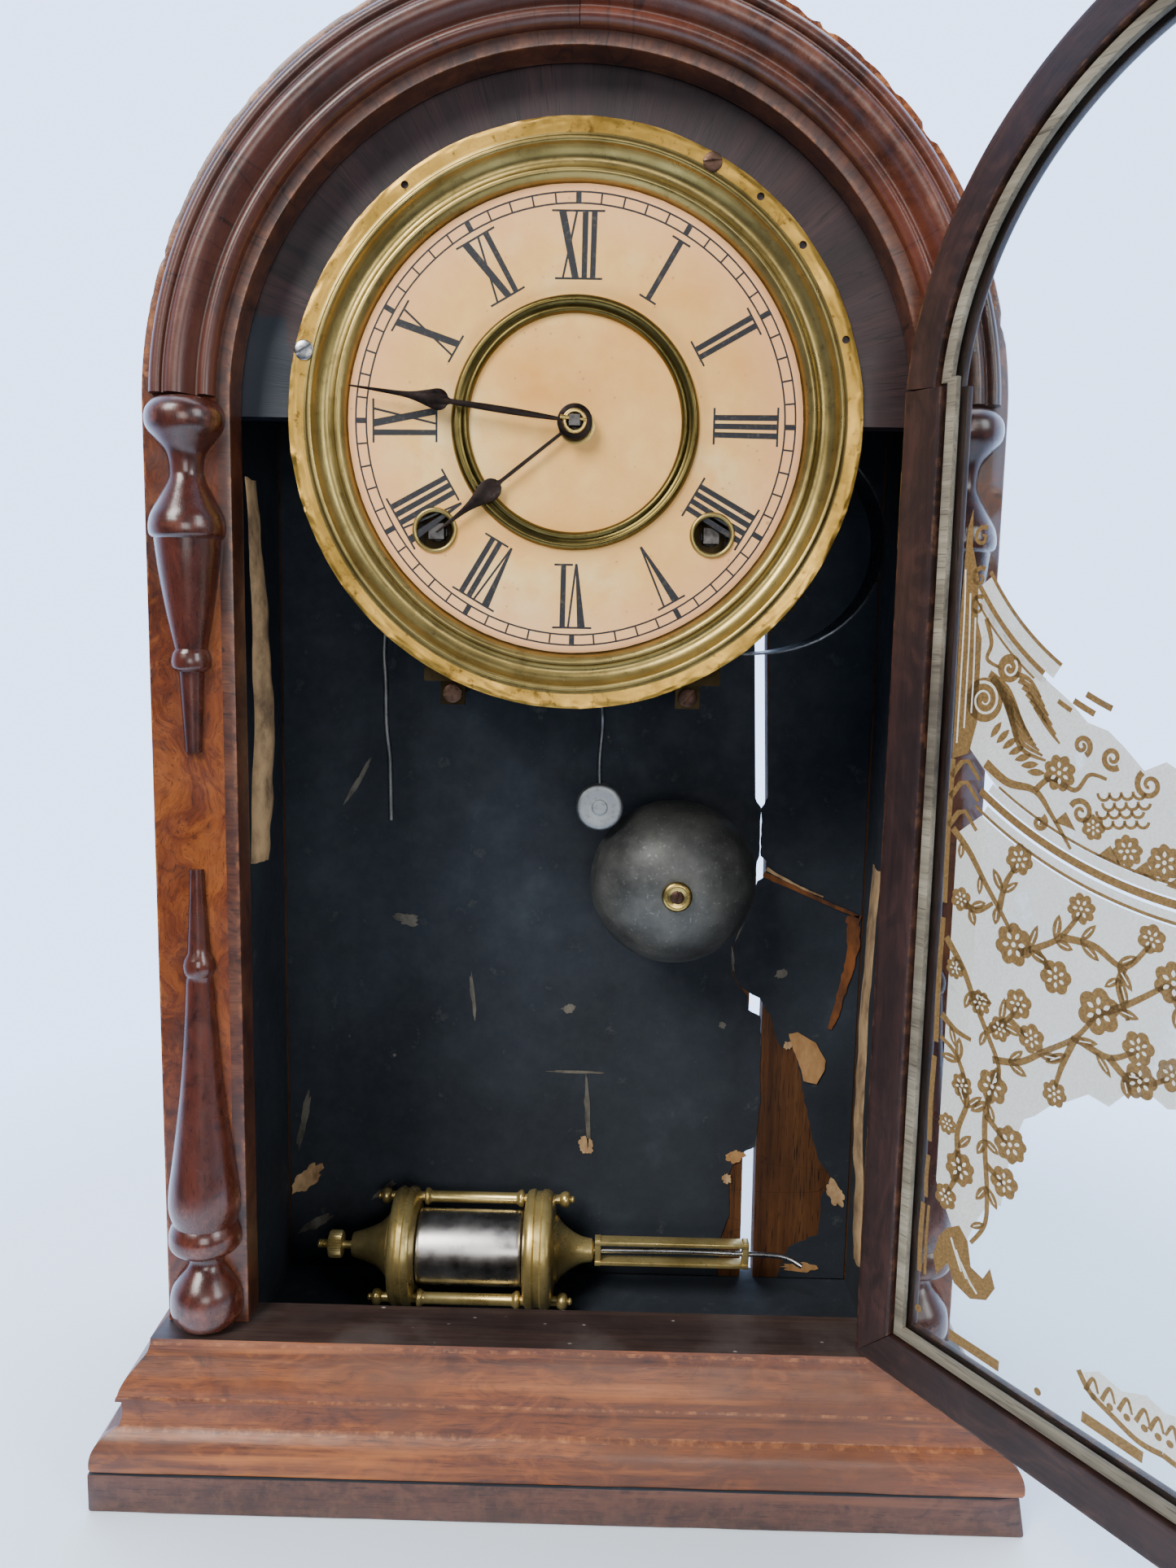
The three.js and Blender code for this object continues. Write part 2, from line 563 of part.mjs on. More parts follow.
// ---------------------------------------------------------------- going train
function buildMainWheel(side, main, second) {
  const [pitch, pinionPitch] = pitchRadii(TEETH.great, TEETH.leaves, distanceBetween(main, second));
  const gear = { ...main, teeth: TEETH.great, pitch, angle: 0 };
  const wheel = wheelSolid({
    ...gear, y0: LAYER.great[0], y1: LAYER.great[1], spokes: 3, windowInner: 9, windowOuter: 27,
  });
  const hub = pinY(main.x, main.z, 5.4, LAYER.great[1] - 0.1, LAYER.great[1] + 1.2, 12);
  addPiece(`${side}_great_wheel`, cut(join(wheel, hub), pinY(main.x, main.z, 3.3, -30, 30, 12)),
    MATERIALS.brass);

  const pinion = { ...second, teeth: TEETH.leaves, pitch: pinionPitch };
  pinion.angle = meshAngle(gear, pinion);
  return wheelSolid({ ...pinion, y0: -15.2, y1: -10.6 });
}

function buildWindingArbor(side, main) {
  const ratchet = wheelSolid({ ...main, teeth: 14, pitch: 8.4, angle: 0, y0: -16.2, y1: -14.8 });
  const square = 2.2;
  const body = join(
    pinY(main.x, main.z, 2.9, ARBOR.front, ARBOR.back, 10),
    pinY(main.x, main.z, 2.6, -20.4, ARBOR.front + 0.1, 10),
    pinY(main.x, main.z, 1.9, ARBOR.back - 0.1, 18.8, 10),
    box([main.x - square, main.x + square], [-25.6, -20.2], [main.z - square, main.z + square]),
    ratchet);
  addPiece(`${side}_winding_arbor`, body, MATERIALS.steel);
}

// a flat spiral spring standing on edge; radiusAt gives the radius after a number of turns
function buildMainspring(side, main, turns, radiusAt, direction) {
  const half = 0.35;
  const stepsPerTurn = 14;
  const steps = Math.round(turns * stepsPerTurn);
  const outer = [];
  const inner = [];
  for (let i = 0; i <= steps; i += 1) {
    const turn = (i / steps) * turns;
    const angle = -Math.PI / 2 + direction * (turns - turn) * 2 * Math.PI;
    const radius = radiusAt(turn);
    outer.push([(radius + half) * Math.cos(angle), (radius + half) * Math.sin(angle)]);
    inner.push([(radius - half) * Math.cos(angle), (radius - half) * Math.sin(angle)]);
  }
  const outline = [...outer, ...inner.reverse()].map(([x, z]) => [x + main.x, z + main.z]);
  addPiece(`${side}_mainspring`, panel(new THREE.Shape(points(outline)), -9.4, 9.4), MATERIALS.darkSteel);
}

function buildTimeTrain() {
  const pinion = buildMainWheel('time', TIME_MAIN, SECOND);
  buildWindingArbor('time', TIME_MAIN);
  // let down, its last turn stands far out towards the side of the case
  const coiled = 3;
  buildMainspring('time', TIME_MAIN, 4, (turn) => {
    if (turn < coiled) return 8 + (22 * turn) / coiled;
    const part = turn - coiled;
    const swell = part < 0.5 ? 0 : 20.5 * Math.sin(2 * Math.PI * part) ** 2;
    return 30 + 4 * part + swell;
  }, 1);

  const [secondPitch, centrePitch] = pitchRadii(TEETH.second, TEETH.centre, distanceBetween(SECOND, CENTRE));
  const secondGear = { ...SECOND, teeth: TEETH.second, pitch: secondPitch, angle: 0 };
  addPiece('second_wheel', join(arborSolid(SECOND, 1.3), pinion, wheelSolid({
    ...secondGear, y0: LAYER.second[0], y1: LAYER.second[1],
  })), MATERIALS.brass);

  const centreGear = { ...CENTRE, teeth: TEETH.centre, pitch: centrePitch };
  centreGear.angle = meshAngle(secondGear, centreGear);
  const cannonPinion = wheelSolid({ ...MOTION.cannon, y0: -21.2, y1: -19.4 });
  const square = 1.5;
  addPiece('centre_arbor', join(
    pinY(0, DIAL_Z, 1.8, -31.2, ARBOR.back, 12),
    pinY(0, DIAL_Z, PIVOT_RADIUS, ARBOR.back - 0.1, PLATE_BACK + PLATE_THICKNESS - 0.2, 8),
    box([-square, square], [-35.6, -31], [DIAL_Z - square, DIAL_Z + square]),
    wheelSolid({ ...centreGear, y0: LAYER.second[0], y1: LAYER.second[1] }),
    cannonPinion), MATERIALS.steel);

  const toothSize = (2 * secondPitch) / TEETH.second;
  const thirdPinion = { ...THIRD, teeth: TEETH.leaves, pitch: (toothSize * TEETH.leaves) / 2 };
  thirdPinion.angle = meshAngle(secondGear, thirdPinion);
  const [thirdPitch, fourthPinionPitch] = pitchRadii(TEETH.third, TEETH.leaves, distanceBetween(THIRD, FOURTH));
  const thirdGear = { ...THIRD, teeth: TEETH.third, pitch: thirdPitch, angle: 0 };
  addPiece('third_wheel', join(arborSolid(THIRD, 1.2), wheelSolid({ ...thirdPinion, y0: 10.6, y1: 14.6 }),
    wheelSolid({ ...thirdGear, y0: LAYER.third[0], y1: LAYER.third[1] })),
  MATERIALS.brass);

  const fourthPinion = { ...FOURTH, teeth: TEETH.leaves, pitch: fourthPinionPitch };
  fourthPinion.angle = meshAngle(thirdGear, fourthPinion);
  const [fourthPitch, escapePinionPitch] = pitchRadii(TEETH.fourth, TEETH.leaves, distanceBetween(FOURTH, ESCAPE));
  const fourthGear = { ...FOURTH, teeth: TEETH.fourth, pitch: fourthPitch, angle: 0 };
  addPiece('fourth_wheel', join(arborSolid(FOURTH, 0.9), wheelSolid({ ...fourthPinion, y0: -15, y1: -11.4 }),
    wheelSolid({ ...fourthGear, y0: LAYER.fourth[0], y1: LAYER.fourth[1] })), MATERIALS.brass);

  const escapePinion = { ...ESCAPE, teeth: TEETH.leaves, pitch: escapePinionPitch };
  escapePinion.angle = meshAngle(fourthGear, escapePinion);
  const escapeWheel = wheelSolid({
    ...ESCAPE, teeth: TEETH.escape, pitch: 9, angle: 0, y0: -6.5, y1: -5.6,
  });
  addPiece('escape_wheel', join(arborSolid(ESCAPE, 0.9), wheelSolid({ ...escapePinion, y0: -11, y1: -8 }),
    escapeWheel), MATERIALS.brass);
}

function buildVerge() {
  const { x, z } = VERGE;
  const anchor = new THREE.Shape(points([
    [x - 2.2, z - 0.6], [x - 8.6, z - 5.4], [x - 8.2, z - 9], [x - 7.2, z - 8.6], [x - 6.8, z - 5.8],
    [x, z - 2.4], [x + 6.8, z - 5.8], [x + 7.2, z - 8.6], [x + 8.2, z - 9], [x + 8.6, z - 5.4],
    [x + 2.2, z - 0.6], [x + 1.4, z + 1.6], [x - 1.4, z + 1.6],
  ]));
  const crutch = wire([[x, -19.6, z], [x, -19.6, z - 4], [x, -19.6, z - 8], [x, -19.6, z - 11.5]], 0.45, 4);
  addPiece('verge', join(arborSolid(VERGE, 0.9), pinY(x, z, 0.7, -20, PLATE_FRONT + 0.4, 8),
    panel(anchor, -7, -5.2), crutch), MATERIALS.steel);
}

// motion work between the front plate and the dial, which gears the hour hand down twelve to one
const MOTION = (() => {
  const distance = distanceBetween(CENTRE, MOTION_STUD);
  const [cannonPitch, wheelPitch] = pitchRadii(6, 18, distance);
  const [pinionPitch, hourPitch] = pitchRadii(6, 24, distance);
  const cannon = { ...CENTRE, teeth: 6, pitch: cannonPitch, angle: 0 };
  const wheel = { ...MOTION_STUD, teeth: 18, pitch: wheelPitch };
  wheel.angle = meshAngle(cannon, wheel);
  const pinion = { ...MOTION_STUD, teeth: 6, pitch: pinionPitch, angle: 0 };
  const hour = { ...CENTRE, teeth: 24, pitch: hourPitch };
  hour.angle = meshAngle(pinion, hour);
  return { cannon, wheel, pinion, hour };
})();

function buildMotionWork() {
  const minuteWheel = join(wheelSolid({ ...MOTION.wheel, y0: -21.2, y1: -20 }),
    wheelSolid({ ...MOTION.pinion, y0: -25.2, y1: -21.1 }));
  addPiece('minute_wheel', cut(minuteWheel, pinY(MOTION_STUD.x, MOTION_STUD.z, 1.5, -30, 0, 12)),
    MATERIALS.brass);
  const hourWheel = join(wheelSolid({ ...MOTION.hour, y0: -24.9, y1: -23.9 }),
    pinY(0, DIAL_Z, 3.2, -31.8, -24.5, 16));
  addPiece('hour_wheel', cut(hourWheel, pinY(0, DIAL_Z, 2.3, -40, 0, 16)), MATERIALS.brass);
}

// ---------------------------------------------------------------- strike train
function buildStrikeTrain() {
  const pinion = buildMainWheel('strike', STRIKE_MAIN, STRIKE_SECOND);
  buildWindingArbor('strike', STRIKE_MAIN);
  const turns = 4;
  buildMainspring('strike', STRIKE_MAIN, turns, (turn) => 8 + (25 * turn) / turns, -1);
  const pitch = pitchRadii(TEETH.second, TEETH.centre, distanceBetween(SECOND, CENTRE))[0];
  const gear = { ...STRIKE_SECOND, teeth: TEETH.second, pitch, angle: 0 };
  addPiece('pin_wheel', join(arborSolid(STRIKE_SECOND, 1.3), pinion, wheelSolid({
    ...gear, y0: LAYER.pin[0], y1: LAYER.pin[1],
  })), MATERIALS.brass);
  const flyPinion = { ...FLY, teeth: TEETH.leaves, pitch: (pitch * TEETH.leaves) / TEETH.second };
  flyPinion.angle = meshAngle(gear, flyPinion);
  addPiece('fly', join(arborSolid(FLY, 1.2), wheelSolid({ ...flyPinion, y0: 8.6, y1: 12.4 }),
    box([FLY.x - 9, FLY.x + 9], [-8, 7], [FLY.z - 0.6, FLY.z + 0.6])), MATERIALS.brass);
  // count wheel, loose on the strike winding arbor behind the spring
  const countWheel = wheelSolid({
    ...STRIKE_MAIN, teeth: 26, pitch: 15.4, angle: 0, y0: 14.4, y1: 15.4,
  });
  addPiece('count_wheel', cut(countWheel, pinY(STRIKE_MAIN.x, STRIKE_MAIN.z, 3.3, -30, 30, 12)),
    MATERIALS.brass);
}

// ---------------------------------------------------------------- plates
const PILLARS = [[-39, 246], [39, 246], [-39, 353], [39, 353]];
const FEET = [[-40, 236], [37, 236], [-30, 363], [30, 363]];
function plateShape(withFeet) {
  const lower = withFeet
    ? [[-44, 231.5], [-36, 231.5], [-36, PLATE_BOTTOM], [33, PLATE_BOTTOM], [33, 231.5], [41, 231.5],
      [41, PLATE_BOTTOM], [PLATE_HALF, PLATE_BOTTOM]]
    : [[-PLATE_HALF, PLATE_BOTTOM], [PLATE_HALF, PLATE_BOTTOM]];
  const upper = withFeet
    ? [[PLATE_HALF, PLATE_TOP], [34, PLATE_TOP], [34, 367], [26, 367], [26, PLATE_TOP], [-26, PLATE_TOP],
      [-26, 367], [-34, 367], [-34, PLATE_TOP], [-PLATE_HALF, PLATE_TOP]]
    : [[PLATE_HALF, PLATE_TOP], [-PLATE_HALF, PLATE_TOP]];
  const shape = new THREE.Shape(points([...lower, ...upper]));
  const round = (x, z, radius) => {
    const hole = new THREE.Path();
    hole.absarc(x, z, radius, 0, Math.PI * 2);
    shape.holes.push(hole);
  };
  for (const { x, z } of [SECOND, STRIKE_SECOND, THIRD, FLY, FOURTH, ESCAPE, VERGE, HAMMER_ARBOR, TRIP_ARBOR]) {
    round(x, z, PIVOT_HOLE);
  }
  for (const { x, z } of [TIME_MAIN, STRIKE_MAIN]) round(x, z, withFeet ? 2.3 : 3);
  round(0, DIAL_Z, withFeet ? PIVOT_HOLE : 2.2);
  // lightening windows between the trains
  round(0, 283, 13);
  round(-15, 306, 6);
  return shape;
}

function buildPlates() {
  const stud = pinY(MOTION_STUD.x, MOTION_STUD.z, 1.2, -25.9, PLATE_FRONT + 0.5, 10);
  const cock = box([-3, 3], [-23.6, PLATE_FRONT + 0.5], [352, 357]);
  addPiece('front_plate', join(panel(plateShape(false), PLATE_FRONT, PLATE_FRONT + PLATE_THICKNESS, 3), stud,
    cock), MATERIALS.brass);
  const posts = PILLARS.map(([x, z]) => pinY(x, z, 2.2, ARBOR.front - 0.1, PLATE_BACK + 0.5, 8));
  const feet = FEET.map(([x, z]) => pinY(x, z, 2.6, PLATE_BACK + 0.5, BACK_BOARD_FRONT - GAP, 8));
  addPiece('back_plate', join(panel(plateShape(true), PLATE_BACK, PLATE_BACK + PLATE_THICKNESS, 3), ...posts,
    ...feet), MATERIALS.brass);
}

// ---------------------------------------------------------------- striking, tripping and the pendulum rod
function buildHammer() {
  const { x, z } = HAMMER_ARBOR;
  const arm = wire([[x, 13.5, z], [x, 13.5, z - 8], [x, 13.5, z - 15], [x, 17, z - 22], [x, HAMMER_Y, z - 29],
    [x, HAMMER_Y, z - 42], [x, HAMMER_Y, HAMMER_HEAD_Z + 3]], 0.8, 9);
  // the disc head is peened on to the wire, so the two are one piece
  const disc = turnedY([
    [0, 18.4], [6.9, 18.4], [HAMMER_HEAD_RADIUS, 19.3], [HAMMER_HEAD_RADIUS, 23.7], [6.9, 24.6], [0, 24.6],
  ], x, HAMMER_HEAD_Z, 16);
  addPiece('hammer', join(arborSolid(HAMMER_ARBOR, 1.2), arm, disc), MATERIALS.steel);
}

function buildBell() {
  addPiece('bell', turnedY([
    [2.4, 7.5], [11, 8.4], [19, 12], [25.2, 18.4], [BELL_RADIUS, 29.5],
    [27, 29.5], [23.8, 19.6], [18, 13.6], [10.8, 10], [2.4, 9.2], [2.4, 7.5],
  ], BELL_X, BELL_Z, 20), MATERIALS.darkSteel);
  // the post carries its clamping nut in front of the bell
  addPiece('bell_post', turnedY([
    [0, 4.4], [4, 4.4], [4.6, 5], [4.6, 7.2], [1.9, 7.2], [1.9, 9.6], [3.2, 9.6], [3.2, 46], [6, 48],
    [6, BACK_BOARD_FRONT - GAP], [0, BACK_BOARD_FRONT - GAP],
  ], BELL_X, BELL_Z, 12), MATERIALS.brass);
}

function buildTripWire() {
  const { x, z } = TRIP_ARBOR;
  const y = 15.2;
  addPiece('strike_trip_wire', join(arborSolid(TRIP_ARBOR, 1.2), wire([
    [x, y, z], [x - 20, y, z + 1], [x - 38, y, z + 4], [x - 48, y, z + 7], [x - 50, y, z], [x - 49.4, y, z - 20],
    [x - 48.4, y, z - 40], [x - 48, y, z - 58],
  ], 0.7, 14)), MATERIALS.steel);
}

function buildPendulumRod() {
  const y = -21.5;
  // the rod bows to the left round the hand arbor and ends in a hook for the bob
  addPiece('pendulum_rod', wire([
    [0, y, 351.6], [0, y, 338], [-5, y, 329], [-11, y, 320], [-11, y, 308], [-5, y, 299], [0, y, 290],
    [0, y, 270], [0, y, 250], [1.6, y, 246], [4.4, y, 246], [5.2, y, 250],
  ], 0.7, 22), MATERIALS.steel);
}

// ---------------------------------------------------------------- pendulum bob, lying along X
function buildBob() {
  const turned = (profile, segments) => turnedX(profile, BOB_Y, BOB_Z, segments);
  addPiece('bob_jar', turned([
    [2.6, -53.2], [12.4, -53.2], [13.2, -51.6], [13.2, -17.4], [12.4, -15.8], [2.6, -15.8], [2.6, -53.2],
  ], 14), MATERIALS.silvered);
  const [offY, offZ] = BOB_COLUMN_OFFSET;
  const columns = [['front', -1], ['rear', 1]].map(([name, sign]) => ({
    name, y: BOB_Y + sign * offY, z: BOB_Z + sign * offZ,
  }));
  const holes = columns.map(({ y, z }) => cylinder(turnedX, 1.9, -100, 100, y, z, 10));
  const cap = (profile) => cut(turned(profile, 14), ...holes);
  const rim = BOB_CAP_RADIUS;
  addPiece('bob_cap_lower', cap([
    [2.6, -77.6], [4.4, -77.6], [8.6, -66.4], [11.4, -63.2], [rim - 1, -62], [rim, -58.4],
    [rim - 1, -54.6], [14.4, -53.6], [2.6, -53.6], [2.6, -77.6],
  ]), MATERIALS.brass);
  addPiece('bob_cap_upper', cap([
    [2.6, -15.4], [14.4, -15.4], [rim - 1, -14.2], [rim, -9.6], [rim - 1, -4.6], [11, -3.2],
    [8, -0.4], [3.8, 10], [2.6, 10], [2.6, -15.4],
  ]), MATERIALS.brass);
  for (const { name, y, z } of columns) {
    addPiece(`bob_column_${name}`, turnedX([
      [0, -70.6], [2.6, -67], [1.6, -64.8], [1.6, -52.8], [2.3, -52], [2.3, -16.8], [1.6, -16],
      [1.6, -2.6], [2.6, -1], [0, 2.8],
    ], y, z, 10), MATERIALS.brass);
  }
  // rating screw and centre rod below, two suspension strips and the hook above
  const core = turned([
    [0, -90.2], [1.5, -90.2], [1.5, -86.4], [4.2, -86.2], [4.8, -84.6], [4.8, -82.6], [4.2, -81], [1.5, -80.8],
    [1.5, 12], [0, 12],
  ], 12);
  const strip = (offset) => box([10.4, 66], [BOB_Y - 2.6, BOB_Y + 2.6], [BOB_Z + offset - 0.8, BOB_Z + offset + 0.8]);
  const block = (x0, x1) => box([x0, x1], [BOB_Y - 2.2, BOB_Y + 2.2], [BOB_Z - 5, BOB_Z + 5]);
  const hook = wire([
    [10.6, BOB_Y, BOB_Z], [40, BOB_Y, BOB_Z], [66, BOB_Y, BOB_Z], [76, BOB_Y, BOB_Z - 0.4],
    [81, BOB_Y - 1, BOB_Z - 1.2], [85, BOB_Y - 3, BOB_Z - 2.6],
  ], 0.9, 12, 8);
  addPiece('bob_rod', join(core, strip(-3.8), strip(3.8), block(10.4, 12.4), block(64, 66), hook),
    MATERIALS.brass);
}

buildBase();
buildCaseShell();
buildArchMoulding();
buildColumns();
buildDoorFrame();
buildGlazing();
buildLatch();
buildHinges();
buildDial();
buildHands();
buildTimeTrain();
buildVerge();
buildMotionWork();
buildStrikeTrain();
buildPlates();
buildHammer();
buildBell();
buildTripWire();
buildPendulumRod();
buildBob();

export default clock;
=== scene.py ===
"""Looks of the round-top shelf clock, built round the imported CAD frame. Lengths are in millimetres
until they become mesh coordinates, which are metres in the row frame."""
import math
import random

import bpy
import bmesh
from mathutils import Matrix, Vector, noise


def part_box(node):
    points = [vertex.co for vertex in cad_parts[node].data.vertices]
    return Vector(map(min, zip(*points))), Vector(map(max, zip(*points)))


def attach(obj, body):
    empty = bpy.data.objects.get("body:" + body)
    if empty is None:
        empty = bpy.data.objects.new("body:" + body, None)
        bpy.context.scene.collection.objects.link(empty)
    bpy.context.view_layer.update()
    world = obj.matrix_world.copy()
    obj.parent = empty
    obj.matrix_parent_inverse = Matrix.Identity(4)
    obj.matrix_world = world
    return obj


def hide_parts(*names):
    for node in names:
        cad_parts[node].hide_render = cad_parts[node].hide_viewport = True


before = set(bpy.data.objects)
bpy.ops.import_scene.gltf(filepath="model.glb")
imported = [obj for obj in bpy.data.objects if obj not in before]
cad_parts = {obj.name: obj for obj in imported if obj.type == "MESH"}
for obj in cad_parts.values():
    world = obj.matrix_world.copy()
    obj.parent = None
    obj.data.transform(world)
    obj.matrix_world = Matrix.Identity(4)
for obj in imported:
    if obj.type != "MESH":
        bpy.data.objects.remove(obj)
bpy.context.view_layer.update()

MM = 0.001
TAU = 2 * math.pi


def box_mm(node):
    low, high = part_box(node)
    return [v / MM for v in low], [v / MM for v in high]


def centre_mm(node):
    low, high = box_mm(node)
    return [(a + b) / 2 for a, b in zip(low, high)]


# ---------------------------------------------------------------- dimensions, in millimetres
DIAL_Z = centre_mm("dial_pan")[2]
BASE_LOW, BASE_HIGH = box_mm("base_board")
SILL_TOP = box_mm("base_moulding")[1][2]
SILL_HALF = 119.4
SILL_FRONT = -51.9
FRAME_LOW, FRAME_HIGH = box_mm("front_frame")
FRAME_FRONT, FRAME_BACK = FRAME_LOW[1], FRAME_HIGH[1]
FRAME_HALF = FRAME_HIGH[0]
OPENING_HALF = 93.06
HOOP_LOW, HOOP_HIGH = box_mm("case_hoop")
HOOP_INNER = 106
BOARD_LOW, BOARD_HIGH = box_mm("back_board")
COLUMN_X = 105.06
HINGE_X, HINGE_Y = 93.6, -44.6
DOOR_OPEN = math.radians(123.2)
DOOR_HALF = 91.3
DOOR_BOTTOM = 51
STILE_INNER = 79.2
ARCH_INNER = 81.4
RAIL_INNER = 62.2
STILE_TOP = 320
WINDING_X = centre_mm("winding_eyelet_right")[0]
WINDING_Z = centre_mm("winding_eyelet_right")[2]


def from_shut(point):
    """A point of the shut door, moved to where the door stands open."""
    x, y, z = point
    dx, dy = x - HINGE_X, y - HINGE_Y
    c, s = math.cos(DOOR_OPEN), math.sin(DOOR_OPEN)
    return HINGE_X + c * dx - s * dy, HINGE_Y + s * dx + c * dy, z


# ---------------------------------------------------------------- lines and sections
def spline(points, steps=6):
    """A smooth line through (a, b) points; a point with a third value of 1 stays a sharp corner."""
    runs, run = [], [points[0][:2]]
    for p in points[1:]:
        run.append(p[:2])
        if len(p) > 2:
            runs.append(run)
            run = [p[:2]]
    if len(run) > 1:
        runs.append(run)
    line = [tuple(runs[0][0])]
    for run in runs:
        for i in range(len(run) - 1):
            p0 = run[i - 1] if i else run[0]
            p1, p2 = run[i], run[i + 1]
            p3 = run[i + 2] if i + 2 < len(run) else run[-1]
            count = 1 if len(run) == 2 else steps
            for k in range(1, count + 1):
                t = k / count
                line.append(tuple(
                    0.5 * (2 * p1[j] + (p2[j] - p0[j]) * t + (2 * p0[j] - 5 * p1[j] + 4 * p2[j] - p3[j]) * t * t
                           + (3 * p1[j] - p0[j] - 3 * p2[j] + p3[j]) * t ** 3) for j in (0, 1)))
    return line


def rounded(section, radius, steps=3, hold=1.0):
    """A closed section with its corners rounded, and a point a little way along each side of a corner."""
    line = []
    count = len(section)
    for i, corner in enumerate(section):
        here = Vector(corner)
        before, after = Vector(section[i - 1]), Vector(section[(i + 1) % count])
        r = min(radius, (before - here).length * 0.45, (after - here).length * 0.45)
        a = here + (before - here).normalized() * r
        b = here + (after - here).normalized() * r
        if (before - here).length > 4 * hold:
            held = a + (before - here).normalized() * hold
            line.append((held.x, held.y))
        for k in range(steps + 1):
            t = k / steps
            p = (1 - t) ** 2 * a + 2 * t * (1 - t) * here + t * t * b
            line.append((p.x, p.y))
        if (after - here).length > 4 * hold:
            held = b + (after - here).normalized() * hold
            line.append((held.x, held.y))
    return line


def wobble(x, y, z, scale):
    """Smooth noise between about -1 and 1."""
    return noise.noise(Vector((x, y, z)) * scale)


# ---------------------------------------------------------------- meshes
def add_mesh(name, verts, faces, materials, body, replaces=(), grain=None, wear=None,
             face_material=None, sharp=32, shut_door=False):
    if shut_door:
        if grain is None:
            grain = list(verts)
        verts = [from_shut(v) for v in verts]
    mesh = bpy.data.meshes.new(name)
    mesh.from_pydata([tuple(c * MM for c in v) for v in verts], [], faces)
    mesh.validate(clean_customdata=False)
    if not isinstance(materials, (list, tuple)):
        materials = [materials]
    for material in materials:
        mesh.materials.append(material)
    if face_material:
        for polygon in mesh.polygons:
            polygon.material_index = face_material(polygon)
    for polygon in mesh.polygons:
        polygon.use_smooth = True
    along = mesh.attributes.new("grain", "FLOAT_VECTOR", "POINT")
    for i, p in enumerate(grain or verts):
        along.data[i].vector = [c * MM for c in p]
    rub = mesh.attributes.new("wear", "FLOAT", "POINT")
    if wear:
        for i, value in enumerate(wear):
            rub.data[i].value = value
    shape = bmesh.new()
    shape.from_mesh(mesh)
    bmesh.ops.recalc_face_normals(shape, faces=shape.faces)
    shape.to_mesh(mesh)
    shape.free()
    mesh.set_sharp_from_angle(angle=math.radians(sharp))
    piece = bpy.data.objects.new(name, mesh)
    bpy.context.scene.collection.objects.link(piece)
    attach(piece, body)
    if replaces:
        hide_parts(*([replaces] if isinstance(replaces, str) else replaces))
    return piece


def grid_faces(rows, columns, wrap_rows=False, wrap_columns=False):
    faces = []
    for i in range(rows if wrap_rows else rows - 1):
        for j in range(columns if wrap_columns else columns - 1):
            a, b = i * columns + j, i * columns + (j + 1) % columns
            c = ((i + 1) % rows) * columns + (j + 1) % columns
            d = ((i + 1) % rows) * columns + j
            faces.append((a, b, c, d))
    return faces


def lathe(profile, axis, centre, segments=64, start=0, sweep=360, closed=False, shape=None):
    """Vertices and faces of a turned body. The profile is (radius, height along the axis)."""
    whole = sweep == 360
    rows = segments if whole else segments + 1
    verts = []
    for i in range(rows):
        angle = math.radians(start + sweep * i / segments)
        for j, (r, h) in enumerate(profile):
            if shape:
                r, h = shape(r, h, angle, j)
            u, v = r * math.cos(angle), r * math.sin(angle)
            if axis == "Y":
                verts.append((centre[0] + u, h, centre[1] + v))
            elif axis == "Z":
                verts.append((centre[0] + u, centre[1] + v, h))
            else:
                verts.append((h, centre[0] + u, centre[1] + v))
    faces = grid_faces(rows, len(profile), whole, closed)
    if not whole:
        count = len(profile)
        faces.append(tuple(range(count)))
        faces.append(tuple((rows - 1) * count + j for j in reversed(range(count))))
    return verts, faces


def turned(name, profile, axis, centre, material, body, replaces=(), segments=64, closed=False,
           shape=None, wear=None, sharp=32):
    verts, faces = lathe(profile, axis, centre, segments, closed=closed, shape=shape)
    rub = None
    if wear:
        rub = [wear(*profile[j]) for _ in range(segments) for j in range(len(profile))]
    piece = add_mesh(name, verts, faces, material, body, replaces, wear=rub, sharp=sharp)
    weld(piece)
    return piece


def weld(piece, distance=1e-6):
    """Merges the points that a profile puts on its own axis, and drops the empty faces."""
    shape = bmesh.new()
    shape.from_mesh(piece.data)
    bmesh.ops.remove_doubles(shape, verts=shape.verts, dist=distance)
    bmesh.ops.dissolve_degenerate(shape, edges=shape.edges, dist=distance)
    bmesh.ops.recalc_face_normals(shape, faces=shape.faces)
    shape.to_mesh(piece.data)
    shape.free()
    piece.data.set_sharp_from_angle(angle=math.radians(32))


def arch_stations(low_left, low_right, start=180, end=0, arc_steps=96, straight_steps=20):
    """(height, angle in degrees, length along) from the left foot over the top to the right foot."""
    stations = []
    mean = 100
    if low_left is not None:
        for i in range(straight_steps):
            z = low_left + (DIAL_Z - low_left) * i / straight_steps
            stations.append((z, 180, z - DIAL_Z))
    for i in range(arc_steps + 1):
        angle = start + (end - start) * i / arc_steps
        stations.append((DIAL_Z, angle, mean * math.radians(180 - angle)))
    if low_right is not None:
        for i in range(1, straight_steps + 1):
            z = DIAL_Z + (low_right - DIAL_Z) * i / straight_steps
            stations.append((z, 0, mean * math.pi + DIAL_Z - z))
    return stations


